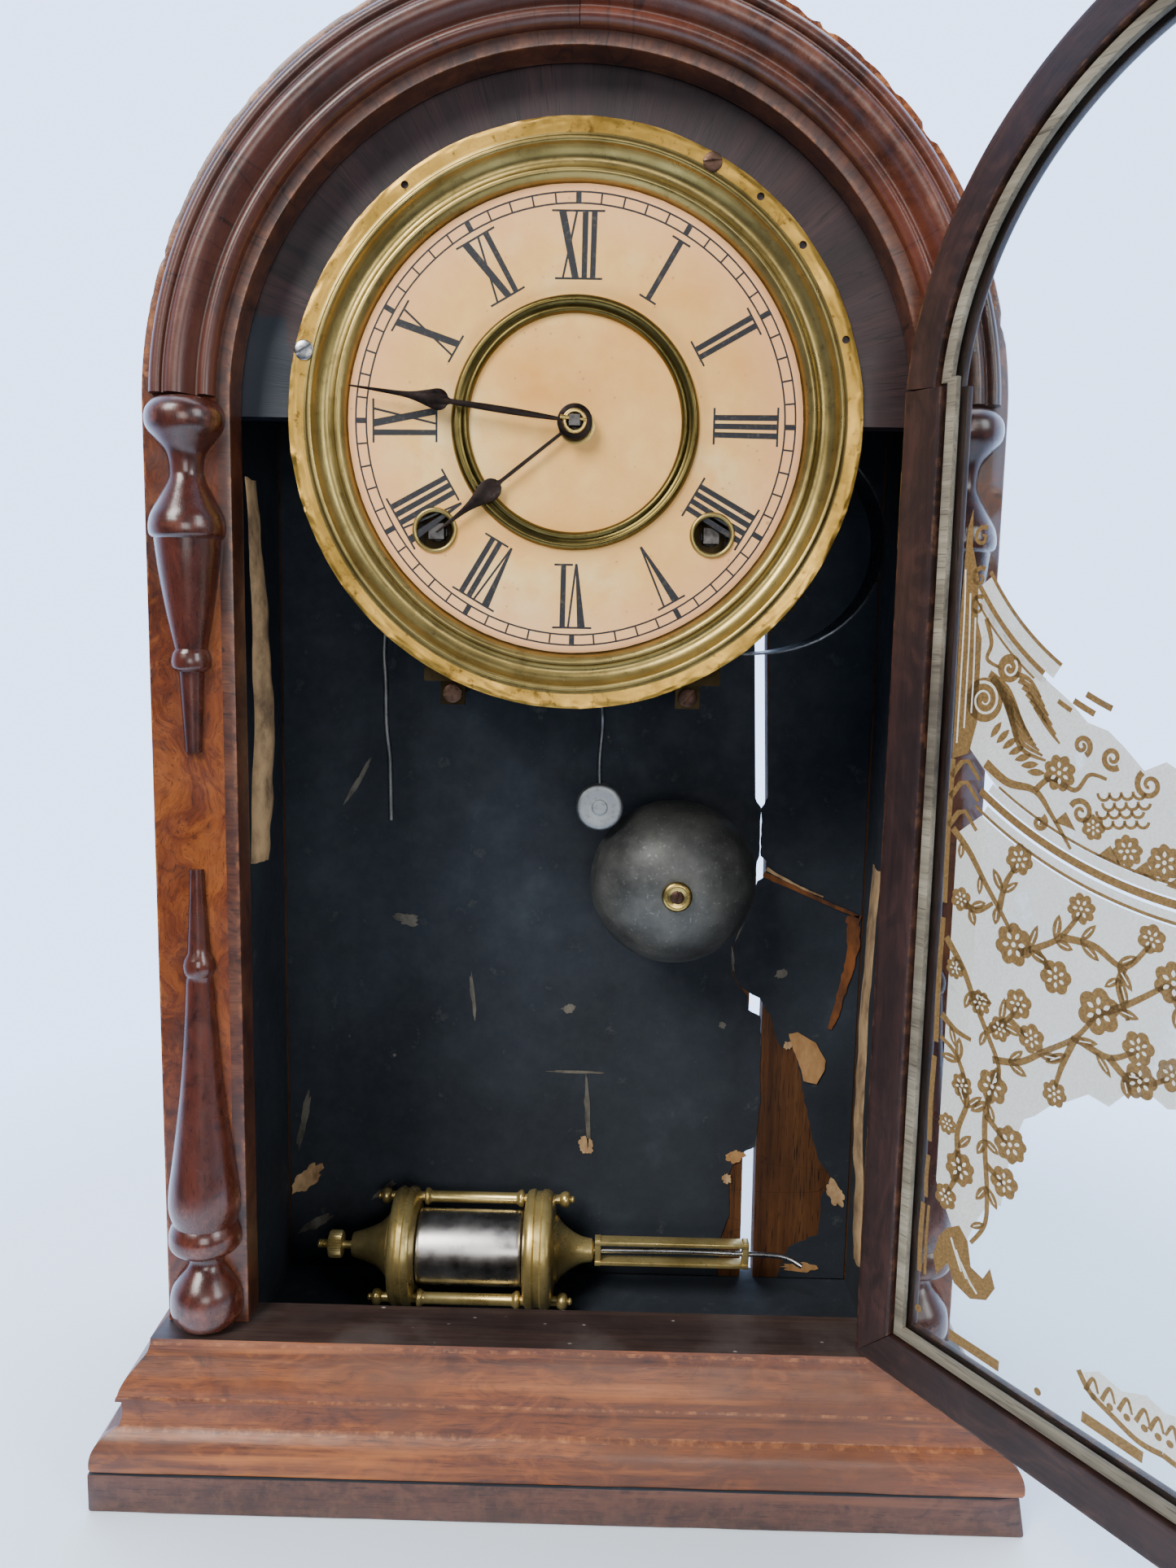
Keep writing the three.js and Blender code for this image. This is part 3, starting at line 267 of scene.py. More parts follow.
def arch_sweep(name, section, stations, materials, body, replaces=(), wear=None, face_material=None,
               shape=None, shut_door=False, sharp=32):
    """A closed section of (radius, y) carried along the stations."""
    verts, grain, rub = [], [], []
    for z, degrees, length in stations:
        angle = math.radians(degrees)
        for r, y in section:
            point = (r * math.cos(angle), y, z + r * math.sin(angle))
            if shape:
                point = shape(point, r, y, length)
            verts.append(point)
            grain.append((length, r, y))
            rub.append(wear(r, y) if wear else 0)
    count = len(section)
    faces = grid_faces(len(stations), count, wrap_columns=True)
    faces.append(tuple(range(count)))
    faces.append(tuple((len(stations) - 1) * count + j for j in reversed(range(count))))
    return add_mesh(name, verts, faces, materials, body, replaces, grain, rub, face_material, sharp, shut_door)


def flat_piece(name, outlines, y0, y1, material, body, replaces=(), holes=(), bevel=0.0, shut_door=False,
               map_point=None, grain_turn=False):
    """Flat shapes seen from the front, given as closed (x, z) outlines, made into solids between y0 and y1."""
    curve = bpy.data.curves.new(name, "CURVE")
    curve.dimensions = "2D"
    curve.fill_mode = "BOTH"
    curve.extrude = (y1 - y0) / 2 - bevel
    curve.bevel_depth = bevel
    curve.bevel_resolution = 1 if bevel else 0
    curve.offset = -bevel
    for outline in list(outlines) + list(holes):
        line = curve.splines.new("POLY")
        line.points.add(len(outline) - 1)
        for point, (x, z) in zip(line.points, outline):
            point.co = (x, z, 0, 1)
        line.use_cyclic_u = True
    holder = bpy.data.objects.new(name + "_curve", curve)
    bpy.context.scene.collection.objects.link(holder)
    mesh = bpy.data.meshes.new_from_object(holder.evaluated_get(bpy.context.evaluated_depsgraph_get()))
    bpy.data.objects.remove(holder)
    middle = (y0 + y1) / 2
    verts = [(v.co.x, middle - v.co.z, v.co.y) for v in mesh.vertices]
    if map_point:
        verts = [map_point(v) for v in verts]
    faces = [tuple(p.vertices) for p in mesh.polygons]
    bpy.data.meshes.remove(mesh)
    grain = [(z, x, y) for x, y, z in verts] if grain_turn else list(verts)
    piece = add_mesh(name, verts, faces, material, body, replaces, grain=grain, shut_door=shut_door)
    weld(piece)
    return piece


def slab(name, low, high, material, body, replaces=(), radius=0.6, cell=6, grain_axis=0, shape=None,
         face_material=None, shut_door=False):
    """A board with rounded edges and enough points to wear unevenly."""
    shape_mesh = bmesh.new()
    bmesh.ops.create_cube(shape_mesh, size=1)
    for vert in shape_mesh.verts:
        for k in range(3):
            vert.co[k] = (low[k] + high[k]) / 2 + vert.co[k] * (high[k] - low[k])
    bmesh.ops.bevel(shape_mesh, geom=shape_mesh.edges[:], offset=radius, segments=2, profile=0.5, affect="EDGES")
    for k in range(3):
        length = high[k] - low[k]
        cuts = int(length / cell) if length > 3 * cell else 0
        for i in range(1, cuts):
            normal = [0, 0, 0]
            normal[k] = 1
            place = [0, 0, 0]
            place[k] = low[k] + length * i / cuts
            bmesh.ops.bisect_plane(shape_mesh, geom=shape_mesh.verts[:] + shape_mesh.edges[:] + shape_mesh.faces[:],
                                   plane_co=place, plane_no=normal)
    verts = [tuple(v.co) for v in shape_mesh.verts]
    if shape:
        verts = [shape(v) for v in verts]
    faces = [tuple(v.index for v in f.verts) for f in shape_mesh.faces]
    shape_mesh.free()
    order = [(0, 1, 2), (1, 0, 2), (2, 0, 1)][grain_axis]
    grain = [tuple(v[k] for k in order) for v in verts]
    return add_mesh(name, verts, faces, material, body, replaces, grain, face_material=face_material,
                    shut_door=shut_door)


def tube(name, route, radius, material, body, replaces=(), sides=16, steps=10, taper=None):
    """A round wire along a smooth route of (x, y, z) points."""
    path = [Vector(p) for p in route]
    line = []
    for i in range(len(path) - 1):
        p0 = path[i - 1] if i else path[0] * 2 - path[1]
        p3 = path[i + 2] if i + 2 < len(path) else path[-1] * 2 - path[-2]
        for k in range(steps):
            t = k / steps
            line.append(0.5 * (2 * path[i] + (path[i + 1] - p0) * t
                               + (2 * p0 - 5 * path[i] + 4 * path[i + 1] - p3) * t * t
                               + (3 * path[i] - p0 - 3 * path[i + 1] + p3) * t ** 3))
    line.append(path[-1])
    verts = []
    side = Vector((1, 0, 0))
    for i, p in enumerate(line):
        ahead = (line[min(i + 1, len(line) - 1)] - line[max(i - 1, 0)]).normalized()
        side = (side - ahead * side.dot(ahead))
        if side.length < 0.05:
            side = ahead.orthogonal()
        side.normalize()
        up = ahead.cross(side)
        r = radius * (taper(i / (len(line) - 1)) if taper else 1)
        for k in range(sides):
            a = TAU * k / sides
            verts.append(tuple(p + side * r * math.cos(a) + up * r * math.sin(a)))
    faces = grid_faces(len(line), sides, wrap_columns=True)
    faces.append(tuple(reversed(range(sides))))
    faces.append(tuple((len(line) - 1) * sides + k for k in range(sides)))
    return add_mesh(name, verts, faces, material, body, replaces)


def carve(piece, cutters):
    """Takes the cutter meshes, given as (vertices, faces), out of a piece."""
    for verts, faces in cutters:
        mesh = bpy.data.meshes.new("cutter")
        mesh.from_pydata([tuple(c * MM for c in v) for v in verts], [], faces)
        shape = bmesh.new()
        shape.from_mesh(mesh)
        bmesh.ops.remove_doubles(shape, verts=shape.verts, dist=1e-7)
        bmesh.ops.recalc_face_normals(shape, faces=shape.faces)
        shape.to_mesh(mesh)
        shape.free()
        cutter = bpy.data.objects.new("cutter", mesh)
        bpy.context.scene.collection.objects.link(cutter)
        modifier = piece.modifiers.new("cut", "BOOLEAN")
        modifier.operation = "DIFFERENCE"
        modifier.solver = "EXACT"
        modifier.object = cutter
        bpy.context.view_layer.update()
        result = bpy.data.meshes.new_from_object(piece.evaluated_get(bpy.context.evaluated_depsgraph_get()))
        piece.modifiers.clear()
        old = piece.data
        piece.data = result
        bpy.data.meshes.remove(old)
        bpy.data.objects.remove(cutter)
    return piece


def hole_y(x, z, radius, y0, y1, segments=40):
    return lathe([(0, y0), (radius, y0), (radius, y1), (0, y1)], "Y", (x, z), segments)


def circle(x, z, radius, count=48, ragged=0.0, seed=0):
    return [(x + radius * math.cos(TAU * i / count) * (1 + ragged * wobble(i, seed, 0, 0.7)),
             z + radius * math.sin(TAU * i / count) * (1 + ragged * wobble(i, seed, 3, 0.7))) for i in range(count)]


def soften(node, width=0.15, segments=2):
    """Small rounded edges on a CAD node that is shown."""
    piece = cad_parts[node]
    modifier = piece.modifiers.new("edges", "BEVEL")
    modifier.width = width * MM
    modifier.segments = segments
    modifier.limit_method = "ANGLE"
    modifier.angle_limit = math.radians(40)
    modifier.harden_normals = False
    return piece


def dress(node, material, width=0.15):
    piece = soften(node, width)
    if not piece.material_slots:
        piece.data.materials.append(material)
    for place in piece.material_slots:
        place.material = material
    return piece


# ---------------------------------------------------------------- shader building
def tone(code):
    """Linear colour of a six-digit screen colour."""
    parts = [int(code[i:i + 2], 16) / 255 for i in (0, 2, 4)]
    return [c / 12.92 if c <= 0.04045 else ((c + 0.055) / 1.055) ** 2.4 for c in parts] + [1]


class Shader:
    def __init__(self, name, roughness=0.5, metallic=0.0, **settings):
        self.material = bpy.data.materials.new(name)
        self.material.use_nodes = True
        self.tree = self.material.node_tree
        self.tree.nodes.clear()
        output = self.tree.nodes.new("ShaderNodeOutputMaterial")
        self.surface = self.tree.nodes.new("ShaderNodeBsdfPrincipled")
        self.tree.links.new(self.surface.outputs[0], output.inputs[0])
        self.set("Roughness", roughness)
        self.set("Metallic", metallic)
        for key, value in settings.items():
            self.set(key.replace("_", " "), value)
        self.place = self.add("TexCoord").outputs["Object"]

    def put(self, socket, value):
        if isinstance(value, bpy.types.NodeSocket):
            self.tree.links.new(value, socket)
        else:
            socket.default_value = value

    def set(self, name, value):
        self.put(self.surface.inputs[name], value)

    def add(self, kind, inputs=None, **settings):
        node = self.tree.nodes.new("ShaderNode" + kind)
        for key, value in settings.items():
            setattr(node, key, value)
        for key, value in (inputs or {}).items():
            self.put(node.inputs[key], value)
        return node

    def attribute(self, name, output="Vector"):
        return self.add("Attribute", attribute_name=name).outputs[output]

    def scaled(self, vector, scale, shift=(0, 0, 0)):
        return self.add("Mapping", {"Vector": vector, "Scale": scale, "Location": shift}).outputs[0]

    def noise(self, vector, scale=1.0, detail=3.0, roughness=0.55, distortion=0.0):
        return self.add("TexNoise", {"Vector": vector, "Scale": scale, "Detail": detail, "Roughness": roughness,
                                     "Distortion": distortion}).outputs[0]

    def cells(self, vector, scale=1.0, feature="F1", output="Distance"):
        return self.add("TexVoronoi", {"Vector": vector, "Scale": scale}, feature=feature).outputs[output]

    def span(self, value, low, high, to_low=0.0, to_high=1.0):
        return self.add("MapRange", {"Value": value, "From Min": low, "From Max": high, "To Min": to_low,
                                     "To Max": to_high}).outputs[0]

    def maths(self, operation, a, b=0.0):
        return self.add("Math", {0: a, 1: b}, operation=operation).outputs[0]

    def mix(self, amount, a, b, blend="MIX"):
        return self.add("Mix", {0: amount, 6: a, 7: b}, data_type="RGBA", blend_type=blend).outputs[2]

    def ramp(self, value, stops):
        node = self.add("ValToRGB", {0: value})
        ramp = node.color_ramp
        while len(ramp.elements) < len(stops):
            ramp.elements.new(0.5)
        for element, (position, colour) in zip(ramp.elements, stops):
            element.position = position
            element.color = colour
        return node.outputs[0]

    def bump(self, height, strength, distance, normal=None):
        inputs = {"Height": height, "Strength": strength, "Distance": distance * MM}
        if normal is not None:
            inputs["Normal"] = normal
        return self.add("Bump", inputs).outputs[0]

    def parts(self, vector):
        return self.add("SeparateXYZ", {0: vector}).outputs

    def joined(self, x, y, z):
        return self.add("CombineXYZ", {0: x, 1: y, 2: z}).outputs[0]

    def polar(self, centre):
        """(radius, angle) in metres and radians about a line along Y."""
        moved = self.add("VectorMath", {0: self.place, 1: [c * MM for c in centre]}, operation="SUBTRACT").outputs[0]
        x, y, z = self.parts(moved)[0:3]
        radius = self.maths("SQRT", self.maths("ADD", self.maths("MULTIPLY", x, x), self.maths("MULTIPLY", z, z)))
        return radius, self.maths("ARCTAN2", z, x)


def wood(name, dark, middle, light, roughness=(0.3, 0.55), fibre=1.0, figure=0.0, grime=0.35, rubbed="b98457",
         coat=0.25, cross=False, tint=None, splits=0.0, streaks=None, dust=0.0, inked_below=None, shine=0.5):
    """Old varnished wood. The grain runs along the first part of the grain attribute, or across it."""
    s = Shader(name, Coat_Weight=coat, Coat_Roughness=0.22, Specular_IOR_Level=shine)
    grain = s.attribute("grain")
    if cross:
        a, b, c = s.parts(grain)[0:3]
        grain = s.joined(b, a, c)
    swirl = s.add("TexNoise", {"Vector": s.scaled(s.place, (38, 38, 38)), "Scale": 1.0, "Detail": 3.0}).outputs["Color"]
    bent = s.add("VectorMath", {0: grain, 1: s.scaled(swirl, (figure * 0.02,) * 3)}, operation="ADD").outputs[0]
    rings = s.noise(s.scaled(bent, (5, 75, 75)), 1, 3, 0.5, 0.6)
    fibres = s.noise(s.scaled(bent, (26, 620, 620)), 1, 5, 0.6)
    pores = s.noise(s.scaled(bent, (120, 2300, 2300)), 1, 2, 0.5)
    blotches = s.noise(s.scaled(s.place, (17, 17, 17)), 1, 5, 0.6)
    body = s.maths("ADD", s.maths("MULTIPLY", rings, 0.62), s.maths("MULTIPLY", fibres, 0.38))
    colour = s.ramp(body, [(0.3, tone(dark)), (0.5, tone(middle)), (0.7, tone(light))])
    if figure:
        eyes = s.cells(s.scaled(bent, (150, 220, 220)), 1)
        colour = s.mix(s.span(eyes, 0.0, 0.22, 0.55, 0.0), colour, tone(dark))
        curl = s.noise(s.scaled(bent, (60, 90, 90)), 1, 4, 0.6, 2.2)
        colour = s.mix(s.span(curl, 0.52, 0.68, 0.0, 0.55), colour, tone(light))
        colour = s.mix(s.span(curl, 0.46, 0.32, 0.0, 0.6), colour, tone(dark))
    colour = s.mix(s.span(pores, 0.57, 0.7, 0.0, 0.6 * fibre), colour, tone("170c09"))
    if tint:
        colour = s.mix(s.span(blotches, 0.45, 0.62, 0.0, 0.7), colour, tone(tint))
    colour = s.mix(s.span(blotches, 0.5, 0.34, 0.0, grime), colour, tone("1c0f0c"))
    if splits:
        x, y, z = s.parts(s.attribute("grain"))[0:3]
        place = s.noise(s.joined(s.maths("MULTIPLY", x, 62), s.maths("MULTIPLY", y, 9), s.maths("MULTIPLY", z, 9)), 1,
                        2, 0.5)
        crack = s.span(s.maths("ABSOLUTE", s.maths("SUBTRACT", place, 0.56)), 0.0, 0.005, splits, 0.0)
        colour = s.mix(crack, colour, tone("0d0706"))
    if streaks:
        light_streak = s.noise(s.scaled(grain, (7, 150, 150)), 1, 4, 0.6)
        colour = s.mix(s.span(light_streak, 0.56, 0.72, 0.0, 0.75), colour, tone(streaks))
    chips = s.noise(s.scaled(s.place, (210, 210, 210)), 1, 4, 0.7)
    if dust:
        specks = s.cells(s.scaled(s.place, (140, 260, 140)), 1)
        some = s.noise(s.scaled(s.place, (70, 70, 70)), 1, 2, 0.5)
        speck = s.maths("MULTIPLY", s.span(specks, 0.12, 0.04), s.span(some, 0.5, 0.56))
        colour = s.mix(s.maths("MULTIPLY", speck, dust), colour, tone("c9c4bc"))
        colour = s.mix(s.span(blotches, 0.5, 0.7, 0.0, 0.35 * dust), colour, tone("77706a"))
    if inked_below:
        x, y, z = s.parts(s.place)[0:3]
        ragged = s.maths("MULTIPLY", s.maths("SUBTRACT", blotches, 0.5), 0.03)
        side = s.span(s.maths("ADD", x, ragged), -0.0775, -0.0785)
        height = s.span(s.maths("ADD", z, ragged), inked_below * MM, inked_below * MM - 0.0015)
        colour = s.mix(s.maths("MULTIPLY", side, height), colour, tone("1a222b"))
    rub = s.maths("MULTIPLY", s.span(s.attribute("wear", "Fac"), 0.65, 1.0, 0.0, 0.8), s.span(chips, 0.48, 0.66))
    colour = s.mix(rub, colour, tone(rubbed))
    s.set("Base Color", colour)
    smudge = s.noise(s.scaled(s.place, (60, 60, 60)), 1, 5, 0.65)
    s.set("Roughness", s.span(smudge, 0.3, 0.7, roughness[0], roughness[1]))
    fine = s.bump(fibres, 0.25 * fibre, 0.1)
    s.set("Normal", s.bump(pores, 0.35 * fibre, 0.08, fine))
    return s.material


def brass(name, bright="b89a4a", dull="6f5a28", stain="3b2c18", roughness=(0.2, 0.42), spun=None, stained=0.5,
          metallic=1.0):
    """Old brass: tarnish in clouds, fine scratches, and spun rings where a centre is given."""
    s = Shader(name, metallic=metallic)
    clouds = s.noise(s.scaled(s.place, (34, 34, 34)), 1, 6, 0.6)
    specks = s.noise(s.scaled(s.place, (420, 420, 420)), 1, 3, 0.6)
    colour = s.ramp(clouds, [(0.32, tone(dull)), (0.55, tone(bright))])
    colour = s.mix(s.span(specks, 0.6, 0.72, 0.0, stained), colour, tone(stain))
    patches = s.noise(s.scaled(s.place, (85, 85, 85)), 1, 5, 0.7)
    colour = s.mix(s.span(patches, 0.58, 0.68, 0.0, stained), colour, tone(stain))
    s.set("Base Color", colour)
    s.set("Roughness", s.span(patches, 0.3, 0.7, roughness[0], roughness[1]))
    if spun:
        radius, angle = s.polar(spun)
        lines = s.noise(s.joined(s.maths("MULTIPLY", radius, 2600), s.maths("MULTIPLY", angle, 1.5), 0), 1, 2, 0.5)
        s.set("Normal", s.bump(lines, 0.35, 0.05, s.bump(clouds, 0.4, 0.5)))
    else:
        scratch = s.noise(s.scaled(s.place, (1500, 1500, 90)), 1, 2, 0.5)
        s.set("Normal", s.bump(scratch, 0.2, 0.03, s.bump(clouds, 0.3, 0.4)))
    return s.material


def steel(name, bright="9a9ca0", dull="5c5d60", rust="3a2519", roughness=(0.25, 0.5), rusted=0.3, brush=(1400, 1400, 60)):
    s = Shader(name, metallic=1.0)
    clouds = s.noise(s.scaled(s.place, (60, 60, 60)), 1, 5, 0.6)
    specks = s.noise(s.scaled(s.place, (700, 700, 700)), 1, 3, 0.6)
    colour = s.ramp(clouds, [(0.35, tone(dull)), (0.6, tone(bright))])
    colour = s.mix(s.span(specks, 0.56, 0.7, 0.0, rusted), colour, tone(rust))
    s.set("Base Color", colour)
    s.set("Roughness", s.span(specks, 0.3, 0.75, roughness[0], roughness[1]))
    s.set("Normal", s.bump(s.noise(s.scaled(s.place, brush), 1, 2, 0.5), 0.2, 0.03, s.bump(clouds, 0.25, 0.3)))
    return s.material


walnut = wood("walnut", "3c1a10", "6b3420", "8f5233", figure=0.25)
moulding_wood = wood("moulding_walnut", "36180b", "703918", "9c561f", figure=0.15, roughness=(0.34, 0.55), tint="5c3620",
                     rubbed="b0713f", streaks="ab632a", coat=0.08)
plinth_wood = wood("plinth_walnut", "2b1610", "4a2b20", "5f3a29", figure=0.1, roughness=(0.42, 0.62), rubbed="63412d",
                   grime=0.5, streaks="6d4028", coat=0.12)
sill_wood = wood("sill", "1f1511", "382822", "4a382f", roughness=(0.45, 0.7), grime=0.5, coat=0.08, dust=1.0)
burl = wood("burl_veneer", "35150a", "652e11", "8c4d1f", figure=1.6, roughness=(0.25, 0.45), grime=0.3,
            rubbed="bb7742", coat=0.2)
band_wood = wood("cross_band", "26110b", "4b2617", "683c23", figure=0.3, cross=True, roughness=(0.3, 0.5), grime=0.6,
                 splits=0.9, rubbed="8a5433")
arch_dark = wood("arch_left", "26100b", "45241b", "5e362a", figure=0.35, roughness=(0.28, 0.42), cross=True,
                 tint="5c2f20", rubbed="7c4f3c", coat=0.15, splits=0.6)
arch_red = wood("arch_right", "2d150d", "532c1e", "6d4230", figure=0.35, roughness=(0.26, 0.4), cross=True,
                tint="6b3220", rubbed="93604a", coat=0.2, splits=0.6)
column_wood = wood("column_walnut", "230d08", "421c11", "5a2a1b", figure=0.2, roughness=(0.18, 0.36), rubbed="744230",
                   coat=0.4, grime=0.3)
ring_wood = wood("dial_board", "170c0c", "301d1e", "492c2d", roughness=(0.42, 0.62), cross=True, fibre=1.6,
                 coat=0.1, grime=0.5, rubbed="5b3d37", splits=0.8, inked_below=DIAL_Z + 30)
door_wood = wood("door_wood", "180c0a", "2e1b16", "432922", roughness=(0.4, 0.58), figure=0.1, rubbed="6c4630", grime=0.5,
                 coat=0.05, shine=0.35)
putty_wood = wood("putty", "463f33", "7f7662", "a89f8b", roughness=(0.6, 0.8), coat=0.0, grime=0.6, rubbed="a39c8a")
raw_wood = wood("raw_wood", "341c0c", "573418", "6e4827", roughness=(0.7, 0.85), coat=0.0, grime=0.4, splits=0.5,
                fibre=1.5, shine=0.3)
side_wood = wood("side_veneer", "4c210f", "8a4826", "ad6a38", figure=0.7, roughness=(0.5, 0.7), grime=0.45,
                 coat=0.04, shine=0.25)

pan_brass = brass("dial_brass", "a08c54", "756537", "3c2e17", (0.24, 0.42), spun=(0, 0, DIAL_Z), stained=0.35,
                  metallic=0.9)
ring_brass = brass("ring_brass", "6e6036", "4a4020", "2e2312", (0.24, 0.42), spun=(0, 0, DIAL_Z), stained=0.35)
flange_brass = brass("flange_brass", "c9a04c", "876a2e", "4a3216", (0.3, 0.5), spun=(0, 0, DIAL_Z), stained=0.7)
small_brass = brass("small_brass", "b89e5c", "8a7038", "4a3618", (0.2, 0.4))
bob_brass = brass("bob_brass", "ecd48c", "a88e4e", "5a4826", (0.22, 0.42), stained=0.3, metallic=0.78)
hinge_brass = brass("hinge_brass", "8d7440", "5a4526", "2e2114", (0.35, 0.6), stained=0.8)
# painted shade: brass for the movement plates, wheels and bell post, painted nearly black to carry the shade of the
# inside of the case
shaded_brass = brass("shaded_brass", "3d3322", "261e12", "140e07", (0.45, 0.65))
bright_steel = steel("bright_steel", "b9babb", "7f8082", "5a4636", (0.22, 0.42), 0.35)
wire_steel = steel("wire_steel", "6f7172", "484a4b", "33291f", (0.35, 0.55), 0.4)
old_steel = steel("old_steel", "6a6866", "44413f", "30231b", (0.35, 0.55), 0.5)
disc_steel = steel("disc_steel", "a3a6a6", "85898a", "5c5047", (0.45, 0.6), 0.3)
hand_steel = steel("blued_steel", "2d2725", "1a1615", "3a251b", (0.28, 0.5), 0.5)
spring_steel = steel("spring_steel", "40444a", "212428", "2a1d15", (0.25, 0.45), 0.4)


def make_bell_metal():
    s = Shader("bell_metal", metallic=0.5)
    blot = s.noise(s.scaled(s.place, (70, 70, 70)), 1, 6, 0.65)
    pits = s.noise(s.scaled(s.place, (900, 900, 900)), 1, 3, 0.6)
    colour = s.ramp(blot, [(0.3, tone("3a3b3a")), (0.62, tone("62625e"))])
    colour = s.mix(s.span(pits, 0.6, 0.75, 0.0, 0.5), colour, tone("9a9c9b"))
    s.set("Base Color", colour)
    s.set("Roughness", s.span(blot, 0.3, 0.7, 0.42, 0.58))
    s.set("Normal", s.bump(pits, 0.3, 0.08, s.bump(blot, 0.3, 0.5)))
    return s.material


def make_silver():
    s = Shader("silvered", metallic=1.0)
    brush = s.noise(s.scaled(s.place, (30, 900, 900)), 1, 3, 0.5)
    haze = s.noise(s.scaled(s.place, (70, 70, 70)), 1, 5, 0.6)
    s.set("Base Color", s.ramp(haze, [(0.35, tone("9c9793")), (0.6, tone("e6e2de"))]))
    s.set("Roughness", s.span(haze, 0.3, 0.7, 0.22, 0.4))
    s.set("Normal", s.bump(brush, 0.2, 0.03))
    return s.material


def make_dial_paper():
    s = Shader("dial_paper", roughness=0.62, Specular_IOR_Level=0.2)
    radius, angle = s.polar((0, 0, DIAL_Z))
    clouds = s.noise(s.scaled(s.place, (26, 26, 26)), 1, 6, 0.6)
    mottled = s.noise(s.scaled(s.place, (120, 120, 120)), 1, 5, 0.65)
    colour = s.ramp(clouds, [(0.3, tone("f0aa54")), (0.5, tone("fdc775")), (0.68, tone("ffe0a0"))])
    colour = s.mix(s.span(mottled, 0.5, 0.68, 0.0, 0.6), colour, tone("f2b268"))
    rim = s.span(radius, 0.046, 0.0635, 0.0, 0.85)
    colour = s.mix(rim, colour, tone("fcbb84"))
    colour = s.mix(s.span(radius, 0.0622, 0.0645, 0.0, 0.55), colour, tone("a5754a"))
    inner = s.span(s.maths("ABSOLUTE", s.maths("SUBTRACT", radius, 0.0365)), 0.003, 0.0, 0.0, 0.35)
    colour = s.mix(inner, colour, tone("c99a5c"))
    spots = s.cells(s.scaled(s.place, (95, 95, 95)), 1)
    spot = s.maths("MULTIPLY", s.span(spots, 0.07, 0.0), s.span(mottled, 0.5, 0.6))
    colour = s.mix(s.maths("MULTIPLY", spot, 0.7), colour, tone("7a4f2c"))
    fine_spots = s.cells(s.scaled(s.place, (330, 330, 330)), 1)
    fine_spot = s.maths("MULTIPLY", s.span(fine_spots, 0.16, 0.06), s.span(mottled, 0.5, 0.58))
    colour = s.mix(s.maths("MULTIPLY", fine_spot, 0.5), colour, tone("a87848"))
    s.set("Base Color", colour)
    s.set("Normal", s.bump(mottled, 0.12, 0.2, s.bump(s.noise(s.scaled(s.place, (2200,) * 3), 1, 2), 0.12, 0.03)))
    return s.material


def make_ink():
    s = Shader("dial_ink", roughness=0.6)
    worn = s.noise(s.scaled(s.place, (900, 900, 900)), 1, 3, 0.6)
    s.set("Base Color", s.ramp(worn, [(0.55, tone("15161c")), (0.8, tone("4d463e"))]))
    s.set("Normal", s.bump(worn, 0.1, 0.02))
    return s.material


def make_lining():
    s = Shader("black_lining", roughness=0.85)
    clouds = s.noise(s.scaled(s.place, (22, 22, 22)), 1, 6, 0.65)
    scuff = s.noise(s.scaled(s.place, (95, 95, 95)), 1, 6, 0.75)
    colour = s.ramp(clouds, [(0.3, tone("141920")), (0.6, tone("232a32")), (0.8, tone("363d45"))])
    colour = s.mix(s.span(scuff, 0.6, 0.75, 0.0, 0.5), colour, tone("5e605c"))
    flecks = s.cells(s.scaled(s.place, (60, 60, 60)), 1)
    fleck = s.maths("MULTIPLY", s.span(flecks, 0.05, 0.0), s.span(scuff, 0.48, 0.6))
    colour = s.mix(fleck, colour, tone("9a9282"))
    s.set("Base Color", colour)
    s.set("Roughness", s.span(scuff, 0.3, 0.7, 0.7, 0.95))
    s.set("Normal", s.bump(scuff, 0.4, 0.3, s.bump(clouds, 0.5, 1.0)))
    return s.material


def make_torn_paper(name, base, spot):
    s = Shader(name, roughness=0.85)
    clouds = s.noise(s.scaled(s.place, (130, 130, 60)), 1, 6, 0.65)
    s.set("Base Color", s.ramp(clouds, [(0.35, tone(spot)), (0.6, tone(base))]))
    s.set("Normal", s.bump(clouds, 0.4, 0.3))
    return s.material


def make_glass():
    s = Shader("door_glass", roughness=0.03, IOR=1.45, Transmission_Weight=1.0)
    waves = s.noise(s.scaled(s.place, (14, 14, 14)), 1, 2, 0.5)
    s.set("Base Color", (0.93, 0.97, 0.95, 1))
    s.set("Normal", s.bump(waves, 0.06, 2.0))
    return s.material


def make_gilt(name, colour, edge, cover):
    """Bronze powder or tinted ground on the glass, worn through in places."""
    s = Shader(name, roughness=0.5, metallic=0.25)
    clouds = s.noise(s.scaled(s.place, (45, 45, 45)), 1, 5, 0.65)
    grains = s.noise(s.scaled(s.place, (1500, 1500, 1500)), 1, 3, 0.6)
    s.set("Base Color", s.ramp(grains, [(0.35, tone(edge)), (0.65, tone(colour))]))
    s.set("Roughness", s.span(clouds, 0.3, 0.7, 0.4, 0.65))
    s.set("Alpha", s.span(clouds, 0.32, 0.42, cover[0], cover[1]))
    s.set("Normal", s.bump(grains, 0.2, 0.02))
    return s.material


bell_metal = make_bell_metal()
silver = make_silver()
dial_paper = make_dial_paper()
ink = make_ink()
lining = make_lining()
torn_paper = make_torn_paper("torn_paper", "c9a679", "7d5d3c")
rust_wood = make_torn_paper("split_wood", "8a5022", "4a2a14")
glass = make_glass()
gilt = make_gilt("gilt_stencil", "90703e", "6f542a", (0.75, 1.0))
ground = make_gilt("cream_ground", "f2f2ea", "e4e2d4", (0.5, 0.85))
pale_gilt = make_gilt("pale_lines", "f4f2e6", "e2dcc6", (0.75, 0.95))
grey_paper = make_torn_paper("grey_paper", "6e685c", "3b3832")
tan_paper = make_torn_paper("tan_paper", "b58a58", "8a6238")
strip_paper = make_torn_paper("strip_paper", "a3845c", "54402c")


